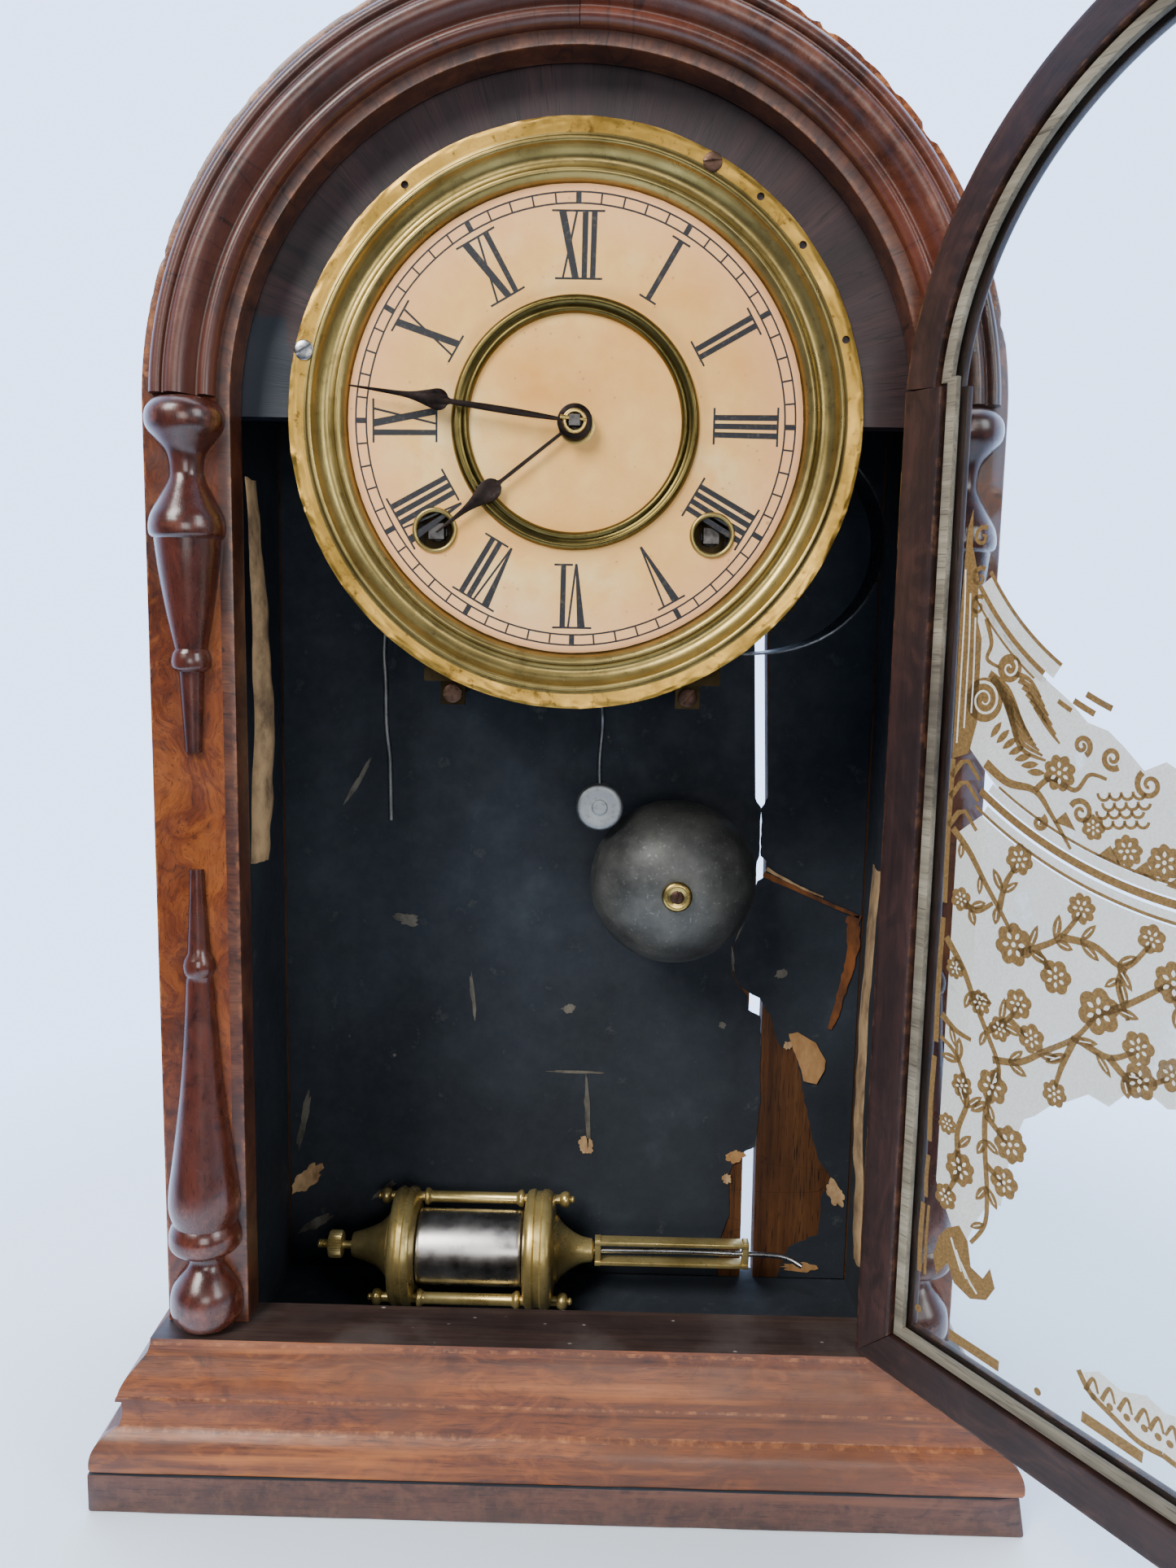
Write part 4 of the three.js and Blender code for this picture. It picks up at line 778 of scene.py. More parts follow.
# ---------------------------------------------------------------- case
def base_shape(p):
    """The base board: edges worn hollow here and there, and a chip off the lower right front corner."""
    x, y, z = p
    edge = min(BASE_HIGH[0] - abs(x), abs(y - BASE_LOW[1]))
    worn = 0.35 * max(0, wobble(x, y, z, 0.06)) if edge < 2 else 0
    if y < BASE_LOW[1] + 3:
        y += worn
    near = max(0, 1 - math.dist((x, y, z), (BASE_HIGH[0], BASE_LOW[1], BASE_HIGH[2])) / 9)
    return x - 1.6 * near, y + 1.6 * near, z


def board_wear(mesh_piece, reach=1.6):
    """Marks the points near the outer edges as rubbed."""
    mesh = mesh_piece.data
    low = [min(v.co[k] for v in mesh.vertices) for k in range(3)]
    high = [max(v.co[k] for v in mesh.vertices) for k in range(3)]
    rub = mesh.attributes["wear"]
    for v in mesh.vertices:
        near = sum(1 for k in range(3) if min(v.co[k] - low[k], high[k] - v.co[k]) < reach * MM)
        rub.data[v.index].value = 0.85 if near > 1 else 0.0


board = slab("base_board_worn", BASE_LOW, BASE_HIGH, [plinth_wood, lining], "case", "base_board", radius=0.8,
             cell=4, grain_axis=0, shape=base_shape,
             face_material=lambda p: 1 if p.normal.z > 0.9 and p.center.z > 10 * MM else 0)
board_wear(board)

# profile of the base moulding: spread outwards (0 at the sill, 1 at the base board) against height
MOULDING = spline([
    (0.0, 47.9), (0.01, 46.9), (0.06, 44.6), (0.2, 41.8), (0.36, 38.8), (0.47, 35.8), (0.52, 33.4, 1),
    (0.54, 33.1, 1), (0.55, 32.0, 1), (0.46, 31.5, 1), (0.44, 29.4), (0.45, 26.8), (0.5, 24.4, 1), (0.62, 23.4),
    (0.8, 21.2), (0.91, 18.6), (0.96, 15.8), (0.965, 13.4, 1), (0.93, 12.4)], 5)
RUBBED_HEIGHTS = (47.6, 33.0, 24.0)


def build_base_moulding():
    """The front length and the two returns, mitred, with a flat sill on top."""
    spread_x, spread_y = BASE_HIGH[0] - SILL_HALF, SILL_FRONT - BASE_LOW[1]
    inner_x, inner_y = FRAME_HALF + 0.3, FRAME_BACK
    outer = [(0, SILL_TOP), (0, SILL_TOP - 0.35)] + MOULDING
    joint = 0.05

    def rub(z):
        return 0.9 if min(abs(z - h) for h in RUBBED_HEIGHTS) < 0.9 else 0.12

    def sill_face(polygon):
        return 1 if polygon.normal.z > 0.9 and polygon.center.z > (SILL_TOP - 1) * MM else 0

    for name, side in (("front", 0), ("left", -1), ("right", 1)):
        verts, grain, wear = [], [], []
        steps = 80 if side == 0 else 40
        section = outer + [None, None]
        for i in range(steps + 1):
            t = i / steps
            for k, point in enumerate(section):
                if point:
                    s, z = point
                    half, front = SILL_HALF + s * spread_x, SILL_FRONT - s * spread_y
                else:
                    half, front, z = inner_x, inner_y, (MOULDING[-1][1] if k == len(outer) else SILL_TOP)
                if side == 0:
                    x, y = (-half + joint) * (1 - t) + (half - joint) * t, front
                    uneven = 0.22 * wobble(x, z, 1, 0.05) + 0.1 * wobble(x, z, 4, 0.3)
                    if point and z < SILL_TOP - 0.1:
                        y -= uneven
                    grain.append((x, z + y, y))
                else:
                    y = (front + joint) * (1 - t) + BASE_HIGH[1] * t
                    x = side * half
                    grain.append((y, z + half, half))
                verts.append((x, y, min(z, SILL_TOP)))
                wear.append(rub(z) if point else 0)
        count = len(section)
        faces = grid_faces(steps + 1, count, wrap_columns=True)
        faces.append(tuple(range(count)))
        faces.append(tuple(steps * count + j for j in reversed(range(count))))
        add_mesh("base_moulding_" + name, verts, faces, [moulding_wood, sill_wood], "case",
                 "base_moulding", grain, wear, sill_face, sharp=28)


build_base_moulding()


def hoop_shape(point, r, y, length):
    x, py, z = point
    if r > HOOP_HIGH[0] - 1:
        dent = 0.25 * wobble(length, y, 0, 0.05) - 0.25
        scale = (r + min(0, dent)) / r
        return x * (scale if z >= DIAL_Z else 1), py, DIAL_Z + (z - DIAL_Z) * scale if z >= DIAL_Z else z
    return point


def inner_face(polygon):
    """Whether a face looks towards the inside of the case."""
    x, y, z = polygon.center / MM
    radius = math.hypot(x, max(0, z - DIAL_Z))
    return radius < HOOP_INNER + 0.6 and abs(polygon.normal.y) < 0.5


arch_sweep("case_hoop_veneered",
           rounded([(HOOP_HIGH[0], HOOP_LOW[1]), (HOOP_HIGH[0], HOOP_HIGH[1]), (HOOP_INNER, HOOP_HIGH[1]),
                    (HOOP_INNER, HOOP_LOW[1])], 0.5),
           arch_stations(HOOP_LOW[2], HOOP_LOW[2]), [side_wood, lining], "case", "case_hoop",
           face_material=lambda p: 1 if inner_face(p) else 0, shape=hoop_shape)

# front frame: a flat band round the door opening, figured veneer outside it
BAND_RADIUS = 96.7


def frame_shape(point, r, y, length):
    """Veneer edges chipped away round the outside of the arch, mostly on the right."""
    x, py, z = point
    if r < FRAME_HALF - 0.9 or z < DIAL_Z + 20:
        return point
    strength = 1.0 if x > 20 else 0.35
    chip = max(0, wobble(length, 0, 7, 0.16) + 0.5 * wobble(length, 0, 2, 0.6) - 0.1) * 2.6 * strength
    scale = (r - chip) / r
    return x * scale, py, DIAL_Z + (z - DIAL_Z) * scale


def in_band(polygon):
    x, y, z = polygon.center / MM
    return 1 if math.hypot(x, max(0, z - DIAL_Z)) < BAND_RADIUS else 0


def frame_wear(r, y):
    if y > FRAME_FRONT + 1:
        return 0.0
    return 1.0 if r < OPENING_HALF + 0.8 or r > FRAME_HALF - 0.8 else 0.0


frame_section = rounded([(OPENING_HALF, FRAME_FRONT), (BAND_RADIUS, FRAME_FRONT), (FRAME_HALF, FRAME_FRONT),
                         (FRAME_HALF, FRAME_BACK), (OPENING_HALF, FRAME_BACK)], 0.4, 2)
veneered = arch_sweep("front_frame_veneered", frame_section,
           arch_stations(SILL_TOP + 0.3, SILL_TOP + 0.3, arc_steps=220, straight_steps=44), [burl, band_wood], "case",
           "front_frame", wear=frame_wear, face_material=in_band, shape=frame_shape)


def wear_rim(piece):
    """The veneer is rubbed through along the outer rim of the arch."""
    rub = piece.data.attributes["wear"]
    for v in piece.data.vertices:
        x, y, z = v.co / MM
        if z > DIAL_Z + 8 and math.hypot(x, z - DIAL_Z) > FRAME_HALF - 3.6:
            rub.data[v.index].value = 1.0


wear_rim(veneered)


def build_arch_moulding():
    """Two lengths that meet at the top; the section runs from the outer fillet to the inner torus."""
    seat = FRAME_FRONT - 0.3
    face = spline([
        (114.2, seat, 1), (114.2, -45.0, 1), (113.7, -46.6), (112.4, -47.7), (111.0, -47.6), (110.2, -46.7, 1),
        (109.8, -46.6, 1), (109.2, -47.9), (107.6, -49.1), (105.6, -48.9), (104.2, -47.9), (103.0, -46.2),
        (101.9, -45.0), (101.2, -44.8, 1), (100.9, -45.4, 1), (100.4, -46.6), (99.2, -47.1), (98.0, -46.6),
        (97.0, -45.2), (96.8, seat)], 4)
    ridge = min(y for _, y in face)

    def rub(r, y):
        return 0.8 if y < ridge + 0.5 or r > 113.4 else 0.1

    low = math.degrees(math.asin(3.4 / 105))
    for name, start, end, material in (("left", 180 - low, 90.06, arch_dark), ("right", 89.94, low, arch_red)):
        stations = arch_stations(None, None, start, end, arc_steps=72)

        def step(point, r, y, length, lower=(0.25 if name == "left" else 0.0)):
            return point[0], point[1] + (lower + 0.12 * wobble(length, r, 5, 0.08)) * (y < seat - 0.2), point[2]

        arch_sweep("arch_moulding_" + name, face, stations, material, "case", "arch_moulding", wear=rub,
                   shape=step)


build_arch_moulding()

# split turned columns: radius against height
UPPER_COLUMN = spline([
    (0, 221, 1), (2.3, 221, 1), (2.9, 232), (3.5, 242.4), (3.9, 243.6, 1), (5.3, 244.6), (5.6, 246.6), (5.2, 248.8, 1),
    (4.6, 249.8, 1), (6.4, 259), (8.2, 271), (9.1, 279.6, 1), (10.2, 280.8), (10.4, 283.2), (10.0, 285.4, 1),
    (9.4, 287.0), (7.2, 291.2), (5.0, 295.6), (4.6, 298.2), (5.3, 302.2), (7.8, 305.6), (10.1, 308.6), (10.7, 311.4),
    (10.2, 314.0), (8.4, 316.2), (6.4, 317, 1), (0, 317)], 5)
LOWER_COLUMN = spline([
    (0, 49.2, 1), (6.6, 49.2, 1), (8.8, 50.4), (10.4, 53.4), (10.7, 57.4), (9.9, 61.6), (7.8, 65.2), (5.6, 68.2),
    (5.0, 70.4), (5.4, 72.6, 1), (8.8, 73.2), (10.5, 75.2), (10.6, 78.4), (9.9, 80.8, 1), (9.3, 81.8, 1),
    (10.4, 86.4), (10.2, 92.4), (8.9, 102), (6.5, 122), (4.8, 142), (4.0, 156.4, 1), (4.5, 157.6), (4.7, 159.6),
    (4.3, 161.6, 1), (3.3, 163.4, 1), (2.6, 176), (2.0, 187.6, 1), (0, 187.6)], 5)


def build_columns():
    for side, x in (("left", -COLUMN_X), ("right", COLUMN_X)):
        for level, profile in (("upper", UPPER_COLUMN), ("lower", LOWER_COLUMN)):
            verts, faces = lathe(profile, "Z", (x, FRAME_FRONT - 0.3), 40, 180, 180)
            largest = max(r for r, _ in profile)
            wear = [min(1.0, max(0, profile[i % len(profile)][0] - largest + 1.2)) for i in range(len(verts))]
            faces += [tuple(i for i in (0 * 0 + j, j + 1, 40 * len(profile) + j + 1, 40 * len(profile) + j))
                      for j in range(len(profile) - 1)]
            faces = [f for f in faces if len(f) == 4]
            grain = [(z, px, y) for px, y, z in verts]
            piece = add_mesh(f"column_{level}_{side}_turned", verts, faces, column_wood, "case",
                             f"column_{level}_{side}", grain, wear)
            weld(piece)


build_columns()


def dial_board_shape(point, r, y, length):
    x, py, z = point
    rough = 0.3 * wobble(x, z, 0, 0.12)
    return x, py + (rough if y < HOOP_LOW[1] + 1 else 0) + (0.3 if y < HOOP_LOW[1] + 1 else 0), z


arch_sweep("dial_board_stained", rounded([(75.4, -31.6), (105.5, -31.6), (105.5, -24), (75.4, -24)], 0.4),
           arch_stations(None, None, 180, 0, arc_steps=140), ring_wood, "case", "dial_board",
           shape=dial_board_shape)

# ---------------------------------------------------------------- back board, its lining and its crack
CRACK = [(68.4, 12), (67.8, 70), (68.2, 130), (67.4, 196), (66.2, 225), (65.0, 253), (64.5, 300), (66, 372),
         (68, 418.5)]


def crack_x(z):
    points = [(CRACK[0][0], 0)] + CRACK
    for (x0, z0), (x1, z1) in zip(points, points[1:]):
        if z <= z1:
            return x0 + (x1 - x0) * (z - z0) / max(z1 - z0, 1e-6)
    return points[-1][0]


def crack_gap(z):
    """How far the board has opened at a height."""
    return 5.0 if z < 150 else 4.4 if z < 262 else max(0.15, 4.4 - (z - 262) * 0.11)


def build_back_board():
    top = BOARD_HIGH[2] - 0.3
    low = BOARD_LOW[2]
    half = BOARD_HIGH[0]
    heights = [low + (top - low) * i / 300 for i in range(301)]

    def edge(side):
        return [(crack_x(z) + side * crack_gap(z) / 2, z) for z in heights if z < DIAL_Z + 92]

    cut_z = edge(1)[-1][1]
    cut_x = edge(1)[-1][0]
    start = math.atan2(cut_z - DIAL_Z, cut_x)
    radius = half
    meet = math.acos(cut_x / radius)
    right_arc = [(radius * math.cos(a), DIAL_Z + radius * math.sin(a))
                 for a in [meet * i / 40 for i in range(41)]]
    right = [(half, low)] + right_arc + list(reversed(edge(1)))
    left_arc = [(radius * math.cos(a), DIAL_Z + radius * math.sin(a))
                for a in [math.acos((cut_x - 0.3) / radius) + (math.pi - math.acos((cut_x - 0.3) / radius)) * i / 90
                          for i in range(91)]]
    left = edge(-1) + left_arc + [(-half, low)]
    for name, outline in (("left", left), ("right", right)):
        flat_piece("back_board_" + name, [outline], BOARD_LOW[1] + 0.1, BOARD_HIGH[1], raw_wood, "case",
                   "back_board", bevel=0.0, grain_turn=True)


build_back_board()


def torn_line(points, seed, rough=0.8, step=1.6):
    """A ragged line through the points."""
    line = []
    for (x0, z0), (x1, z1) in zip(points, points[1:]):
        length = math.hypot(x1 - x0, z1 - z0)
        count = max(1, int(length / step))
        for i in range(count):
            t = i / count
            nx, nz = -(z1 - z0) / length, (x1 - x0) / length
            off = rough * (wobble(x0 + (x1 - x0) * t, z0 + (z1 - z0) * t, seed, 0.45)
                           + 0.6 * wobble(x0 + (x1 - x0) * t, z0 + (z1 - z0) * t, seed + 5, 1.4))
            line.append((x0 + (x1 - x0) * t + nx * off, z0 + (z1 - z0) * t + nz * off))
    line.append(points[-1])
    return line


def build_lining():
    """Black paper on the back board, split along the crack and torn off the lower right."""
    half, low, top_r = HOOP_INNER - 0.6, 12.8, HOOP_INNER - 0.6
    z_cut = DIAL_Z + 88
    left_edge = torn_line([
        (57.4, low), (57.4, 26), (61, 37), (60.5, 54), (63.6, 61.5), (70, 65), (70.6, 75), (71.2, 84), (70.6, 95),
        (70.4, 107), (70, 115.5), (65.4, 118), (64.8, 123), (61.5, 127), (58.6, 132), (58.2, 139), (60.4, 147),
        (63.5, 158), (66.4, 166), (66.6, 174), (67.4, 176), (67.2, 194), (64.6, 198), (63.6, 225), (62.5, 253),
        (62.3, 290), (64, 340), (66, z_cut)], 3, 0.35)
    x_cut = left_edge[-1][0]
    left_arc = [(top_r * math.cos(a), DIAL_Z + top_r * math.sin(a))
                for a in [math.acos(x_cut / top_r) + (math.pi - math.acos(x_cut / top_r)) * i / 80
                          for i in range(81)]]
    flat_piece("lining_left", [left_edge + left_arc + [(-half, low)]], 53.15, 53.42,
               lining, "case", "back_board")
    tear = torn_line([
        (73.7, 116), (76.4, 106.5), (78.7, 103.7), (82, 106), (84.4, 98), (86.3, 90), (89.6, 75), (93.6, 61),
        (98.5, 53), (95.6, 44.6), (94.9, 30.5), (84, 25), (80, low)], 8, 0.5)
    right_edge = torn_line([
        (66.4, z_cut), (65, 340), (66.6, 300), (67.7, 253), (68.7, 225), (69.7, 198), (67.5, 193.6), (67.7, 176),
        (70, 174), (70, 168.5), (67, 166.6), (63.9, 158), (60.8, 147), (58.6, 139), (59, 132), (61.9, 127),
        (66.6, 124), (69.4, 122.5), (71, 119.5), (73.5, 116.2)], 6, 0.3)
    x_cut = right_edge[0][0]
    right_arc = [(top_r * math.cos(a), DIAL_Z + top_r * math.sin(a))
                 for a in [math.acos(x_cut / top_r) * i / 40 for i in range(41)]]
    flat_piece("lining_right", [[(half, low)] + right_arc + right_edge + tear], 53.15, 53.42, lining, "case",
               "back_board")
    # pale and grey backing where the black has rubbed or pulled away
    for i, (x, z, w, h, turn, paper) in enumerate([
            (6.6, 78, 2.0, 26, 0.05, grey_paper), (6.2, 64, 5.4, 7, 0.3, torn_paper), (-1, 117, 4.6, 3.2, 0.2, grey_paper),
            (-36.6, 121, 1.5, 17, 0.1, grey_paper), (-61, 149.5, 9, 4.6, -0.2, grey_paper),
            (-78.5, 201, 1.7, 20, -0.5, grey_paper), (2, 92.5, 22, 0.9, 0.0, grey_paper),
            (77, 132, 4.4, 3, 0.3, grey_paper), (56, 112, 2.4, 2.6, 0.3, grey_paper), (-99, 48, 7, 15, -0.7, torn_paper),
            (-96, 30, 14, 3.6, 0.5, grey_paper), (-100, 72, 2.4, 22, -0.2, grey_paper), (-70, 44, 12, 2.2, 0.7, grey_paper),
            (62.2, 151, 1.0, 12, -0.35, grey_paper), (59.0, 137, 0.9, 9, 0.1, grey_paper),
            (80.4, 104.6, 3.4, 3.0, 0.4, torn_paper), (101, 47, 6, 11, 0.5, torn_paper),
            (62.6, 60.6, 7, 4.6, 0.3, tan_paper), (59.6, 52, 3.4, 4, 0.3, torn_paper), (89, 17, 13, 3.4, 0, tan_paper)]):
        outline = []
        for k in range(30):
            a = TAU * k / 30
            r = 1 + 0.45 * wobble(math.cos(a) * 2, math.sin(a) * 2, i * 3.1, 1.0) + 0.3 * wobble(k, i, 9, 0.9)
            u, v = w / 2 * r * math.cos(a), h / 2 * r * math.sin(a)
            outline.append((x + u * math.cos(turn) - v * math.sin(turn), z + u * math.sin(turn) + v * math.cos(turn)))
        flat_piece(f"lining_scrap_{i + 1}", [outline], 52.85, 53.1, paper, "case")
    # the flap that has folded outwards, a ragged split to the right, and the brown streak under it
    flat_piece("lining_flap", [torn_line([(80.6, 109.4), (83.9, 110.1), (90.7, 106.2), (94.6, 99.4), (94.5, 95.9),
                                          (91.7, 90.1), (86.8, 91.3), (85.7, 95.7), (82, 104.7), (80.6, 109.4)],
                                         4, 0.25)[:-1]], 52.4, 52.7, tan_paper, "case")
    for name, points, width, end_width, material in (
            ("split", [(69, 169.4), (78.3, 165.4), (89.2, 160.5), (100.4, 155.9), (104.4, 154.2)], 1.9, 1.1, rust_wood),
            ("split_edge", [(70, 171.4), (75, 168.6), (84, 164.2), (91, 161.4)], 1.2, 0.5, torn_paper),
            ("streak", [(102.4, 154.6), (102.8, 147), (102.2, 139), (100, 128), (97.4, 117), (95.6, 111.5)], 5.4, 1.6,
             rust_wood)):
        line = spline(points, 6)
        left_side, right_side = [], []
        for i, (x, z) in enumerate(line):
            before, after = line[max(i - 1, 0)], line[min(i + 1, len(line) - 1)]
            length = math.dist(before, after)
            nx, nz = -(after[1] - before[1]) / length, (after[0] - before[0]) / length
            half_width = (width + (end_width - width) * i / (len(line) - 1)) / 2
            left_w = half_width * (1 + 0.5 * wobble(x, z, 1, 0.5))
            right_w = half_width * (1 + 0.5 * wobble(x, z, 6, 0.5))
            left_side.append((x + nx * left_w, z + nz * left_w))
            right_side.append((x - nx * right_w, z - nz * right_w))
        flat_piece("lining_" + name, [left_side + right_side[::-1]], 52.5, 52.8, material, "case")


build_lining()


def build_loose_strip(name, side, low, high, breadth, reach):
    """A strip of the side lining that has come away and curls towards the front."""
    rows, columns = 60, 12
    verts = []
    for i in range(rows + 1):
        t = i / rows
        z = low + (high - low) * t
        width = breadth * (0.35 + 0.65 * math.sin(math.pi * min(1, 0.12 + 0.95 * t)) ** 0.5) + 1.4 * wobble(z, 0, 1, 0.12)
        curl = 1.2 + 1.5 * t * t
        lean = -94.6 + 2.0 * math.sin(2.6 * t) + 0.8 * wobble(z, 3, 1, 0.05)
        for j in range(columns + 1):
            u = j / columns
            angle = curl * u * 1.4
            x = side * (lean + width * math.sin(angle) / max(curl * 1.4, 0.3) * 1.15 + reach)
            y = -26 + 5 * (1 - math.cos(angle)) - 2.5 * t + 0.5 * wobble(z, u * 4, 2, 0.2)
            verts.append((x, y, z + 0.9 * wobble(u * 9, z, 7, 0.3)))
    back = [(x - 0.05, y + 0.25, z) for x, y, z in verts]
    count = len(verts)
    faces = grid_faces(rows + 1, columns + 1)
    faces += [tuple(count + i for i in reversed(f)) for f in faces]
    width = columns + 1
    ring = [j for j in range(width)] + [i * width + columns for i in range(1, rows + 1)] \
        + [rows * width + j for j in range(columns - 1, -1, -1)] + [i * width for i in range(rows - 1, 0, -1)]
    faces += [(ring[k], ring[(k + 1) % len(ring)], ring[(k + 1) % len(ring)] + count, ring[k] + count)
              for k in range(len(ring))]
    add_mesh(name, verts + back, faces, strip_paper, "case", sharp=60)


build_loose_strip("side_lining_loose_left", 1, 186, 298, 7.4, 0)
build_loose_strip("side_lining_loose_right", -1, 62, 188, 2.2, 1.4)


# ---------------------------------------------------------------- gilt border on the inside of the door glass
class Film:
    """Thin flat shapes seen from the front, collected into one mesh. The (x, z) outlines lie between two depths."""

    def __init__(self, y_near, y_far):
        self.depths = (y_near, y_far)
        self.verts, self.faces = [], []

    def polygon(self, outline):
        start, count = len(self.verts), len(outline)
        for y in self.depths:
            self.verts.extend((x, y, z) for x, z in outline)
        self.faces.append(tuple(range(start, start + count)))
        self.faces.append(tuple(range(start + 2 * count - 1, start + count - 1, -1)))
        self.faces.extend((start + k, start + (k + 1) % count, start + count + (k + 1) % count, start + count + k)
                          for k in range(count))

    def ribbon(self, line, width, end_width=None):
        """A stroke along the line that may taper to another width."""
        start, count = len(self.verts), len(line)
        end_width = width if end_width is None else end_width
        for i, (x, z) in enumerate(line):
            before, after = line[max(i - 1, 0)], line[min(i + 1, count - 1)]
            dx, dz = after[0] - before[0], after[1] - before[1]
            length = math.hypot(dx, dz) or 1
            half = (width + (end_width - width) * i / (count - 1)) / 2
            nx, nz = -dz / length * half, dx / length * half
            for y in self.depths:
                self.verts.extend([(x + nx, y, z + nz), (x - nx, y, z - nz)])
        for i in range(count - 1):
            a, b = start + 4 * i, start + 4 * i + 4
            self.faces.extend([(a, a + 1, b + 1, b), (a + 3, a + 2, b + 2, b + 3), (a + 1, a + 3, b + 3, b + 1),
                               (a + 2, a, b, b + 2)])
        a, b = start, start + 4 * (count - 1)
        self.faces.extend([(a, a + 2, a + 3, a + 1), (b, b + 1, b + 3, b + 2)])


def around(x, z, size, count=24, petals=0, depth=0.0, turn=0.0):
    """A closed round outline, scalloped when it has petals."""
    outline = []
    for i in range(count):
        a = TAU * i / count
        r = size * (1 - depth + depth * abs(math.cos(petals * a / 2 + turn)) ** 0.7) if petals else size
        outline.append((x + r * math.cos(a), z + r * math.sin(a)))
    return outline


def leaf(x, z, length, width, turn):
    outline = []
    for side in (1, -1):
        for i in range(8):
            t = i / 8 if side > 0 else 1 - i / 8
            u, v = length * t, side * width / 2 * math.sin(math.pi * t) ** 0.8
            outline.append((x + u * math.cos(turn) - v * math.sin(turn), z + u * math.sin(turn) + v * math.cos(turn)))
    return outline


class HalfPattern:
    """Draws on one half of the glass, x being measured from the middle towards that side."""

    def __init__(self, side, cream, gold, light):
        self.side = side
        self.films = {"cream": cream, "gold": gold, "light": light}

    def put(self, film, outline):
        self.films[film].polygon([(self.side * x, z) for x, z in outline])

    def stroke(self, film, points, width, end_width=None, smooth=7):
        line = spline(points, smooth) if smooth else points
        self.films[film].ribbon([(self.side * x, z) for x, z in line], width, end_width)

    def band(self, film, radius, width, low, high, count=40):
        """Part of a ring about the dial centre; angles are counted from straight down."""
        line = [(radius * math.sin(math.radians(low + (high - low) * i / count)),
                 DIAL_Z - radius * math.cos(math.radians(low + (high - low) * i / count))) for i in range(count + 1)]
        self.stroke(film, line, width, smooth=0)

    def curl(self, film, x, z, size, turn, width, turns=1.5, flip=1):
        count = 30
        line = [(x + flip * size * (1 - 0.85 * i / count) * math.cos(turn + i / count * turns * TAU),
                 z + size * (1 - 0.85 * i / count) * math.sin(turn + i / count * turns * TAU)) for i in range(count + 1)]
        self.stroke(film, line, width, width * 0.5, smooth=0)

    def flower(self, x, z, size):
        """A round flower: a scalloped disc with a pale ring of petals and a pale heart."""
        turn = random.uniform(0, 1.5)
        self.put("gold", around(x, z, size, 40, random.choice((6, 7, 8)), 0.24, turn))
        for k in range(6):
            a = TAU * k / 6 + turn
            self.put("light", leaf(x + 0.26 * size * math.cos(a), z + 0.26 * size * math.sin(a), 0.34 * size,
                                   0.2 * size, a))
        self.put("light", around(x, z, 0.12 * size, 10))

    def branch(self, points, width=2.0, leaves=True):
        line = spline(points, 8)
        self.stroke("gold", line, width, width * 0.55, smooth=0)
        if not leaves:
            return
        for i in range(5, len(line) - 4, 9):
            (x, z), (u, v) = line[i], line[i + 1]
            along = math.atan2(v - z, u - x)
            for offset in (random.uniform(0.5, 0.9), -random.uniform(0.5, 1.0))[:random.choice((1, 2))]:
                length = random.uniform(4.8, 7.2)
                self.put("gold", leaf(x, z, length, random.uniform(1.9, 2.8), along + offset))
                self.stroke("light", [(x + 0.3 * length * math.cos(along + offset),
                                       z + 0.3 * length * math.sin(along + offset)),
                                      (x + 0.75 * length * math.cos(along + offset),
                                       z + 0.75 * length * math.sin(along + offset))], 0.3, smooth=0)


FLOWERS = (
    (49, 182, 4.8), (36.5, 177, 3.8), (58, 164.5, 3.0), (46.5, 167.5, 3.5), (51.5, 159.5, 2.9), (42, 160, 3.3),
    (24.5, 172, 4.9), (52.5, 144, 4.1), (34.5, 148.5, 3.0), (46, 131, 4.3), (47, 120.5, 3.7), (61, 118.5, 4.2),
    (65, 109, 3.2), (14, 166.5, 3.5), (13, 159, 3.8), (5.5, 163, 3.4), (7, 183.5, 4.2), (13, 192, 3.0), (49, 203.5, 3.5),
    (31, 195, 3.3), (66.5, 171.5, 2.6), (20.5, 210.5, 3.3), (11.5, 209.5, 3.6), (39.5, 226, 3.9), (3.6, 206, 2.6),
    (29.5, 214.5, 2.7), (66, 190, 2.8), (62, 141, 3.0), (66, 129, 2.6))
BRANCHES = (
    ((70, 208), (64.5, 203), (59, 196), (54, 190), (50, 185)), ((54, 190), (52.5, 197), (49.5, 202)),
    ((48, 180), (42, 183), (36, 187), (31, 194)), ((36, 187), (27, 187), (19, 184), (13, 191)),
    ((42, 182), (38, 178)), ((70, 179), (64, 172), (60, 165), (55, 157), (51, 150), (51, 145)),
    ((55, 158), (49, 163), (46, 168)), ((49, 163), (43, 160)), ((53, 151), (45, 153), (38, 158), (30, 164), (25, 171)),
    ((30, 164), (33, 156), (34.5, 150)), ((25, 171), (17, 176), (8, 183)), ((30, 164), (21, 162), (14, 166)),
    ((21, 162), (14, 158), (6, 162)), ((52.5, 144), (54, 136), (53.5, 127), (52, 116), (52, 107), (56, 100)),
    ((54, 136), (47, 131)), ((53, 123), (47, 120)), ((61, 118), (62.5, 128), (60, 138), (64, 148), (70, 152)),
    ((61, 118), (65, 109)), ((70, 158), (65, 155), (60, 154)), ((19, 184), (20, 179), (17, 172)),
    ((66, 190), (61, 188), (56, 191)), ((8, 183), (4, 176), (1, 172)))


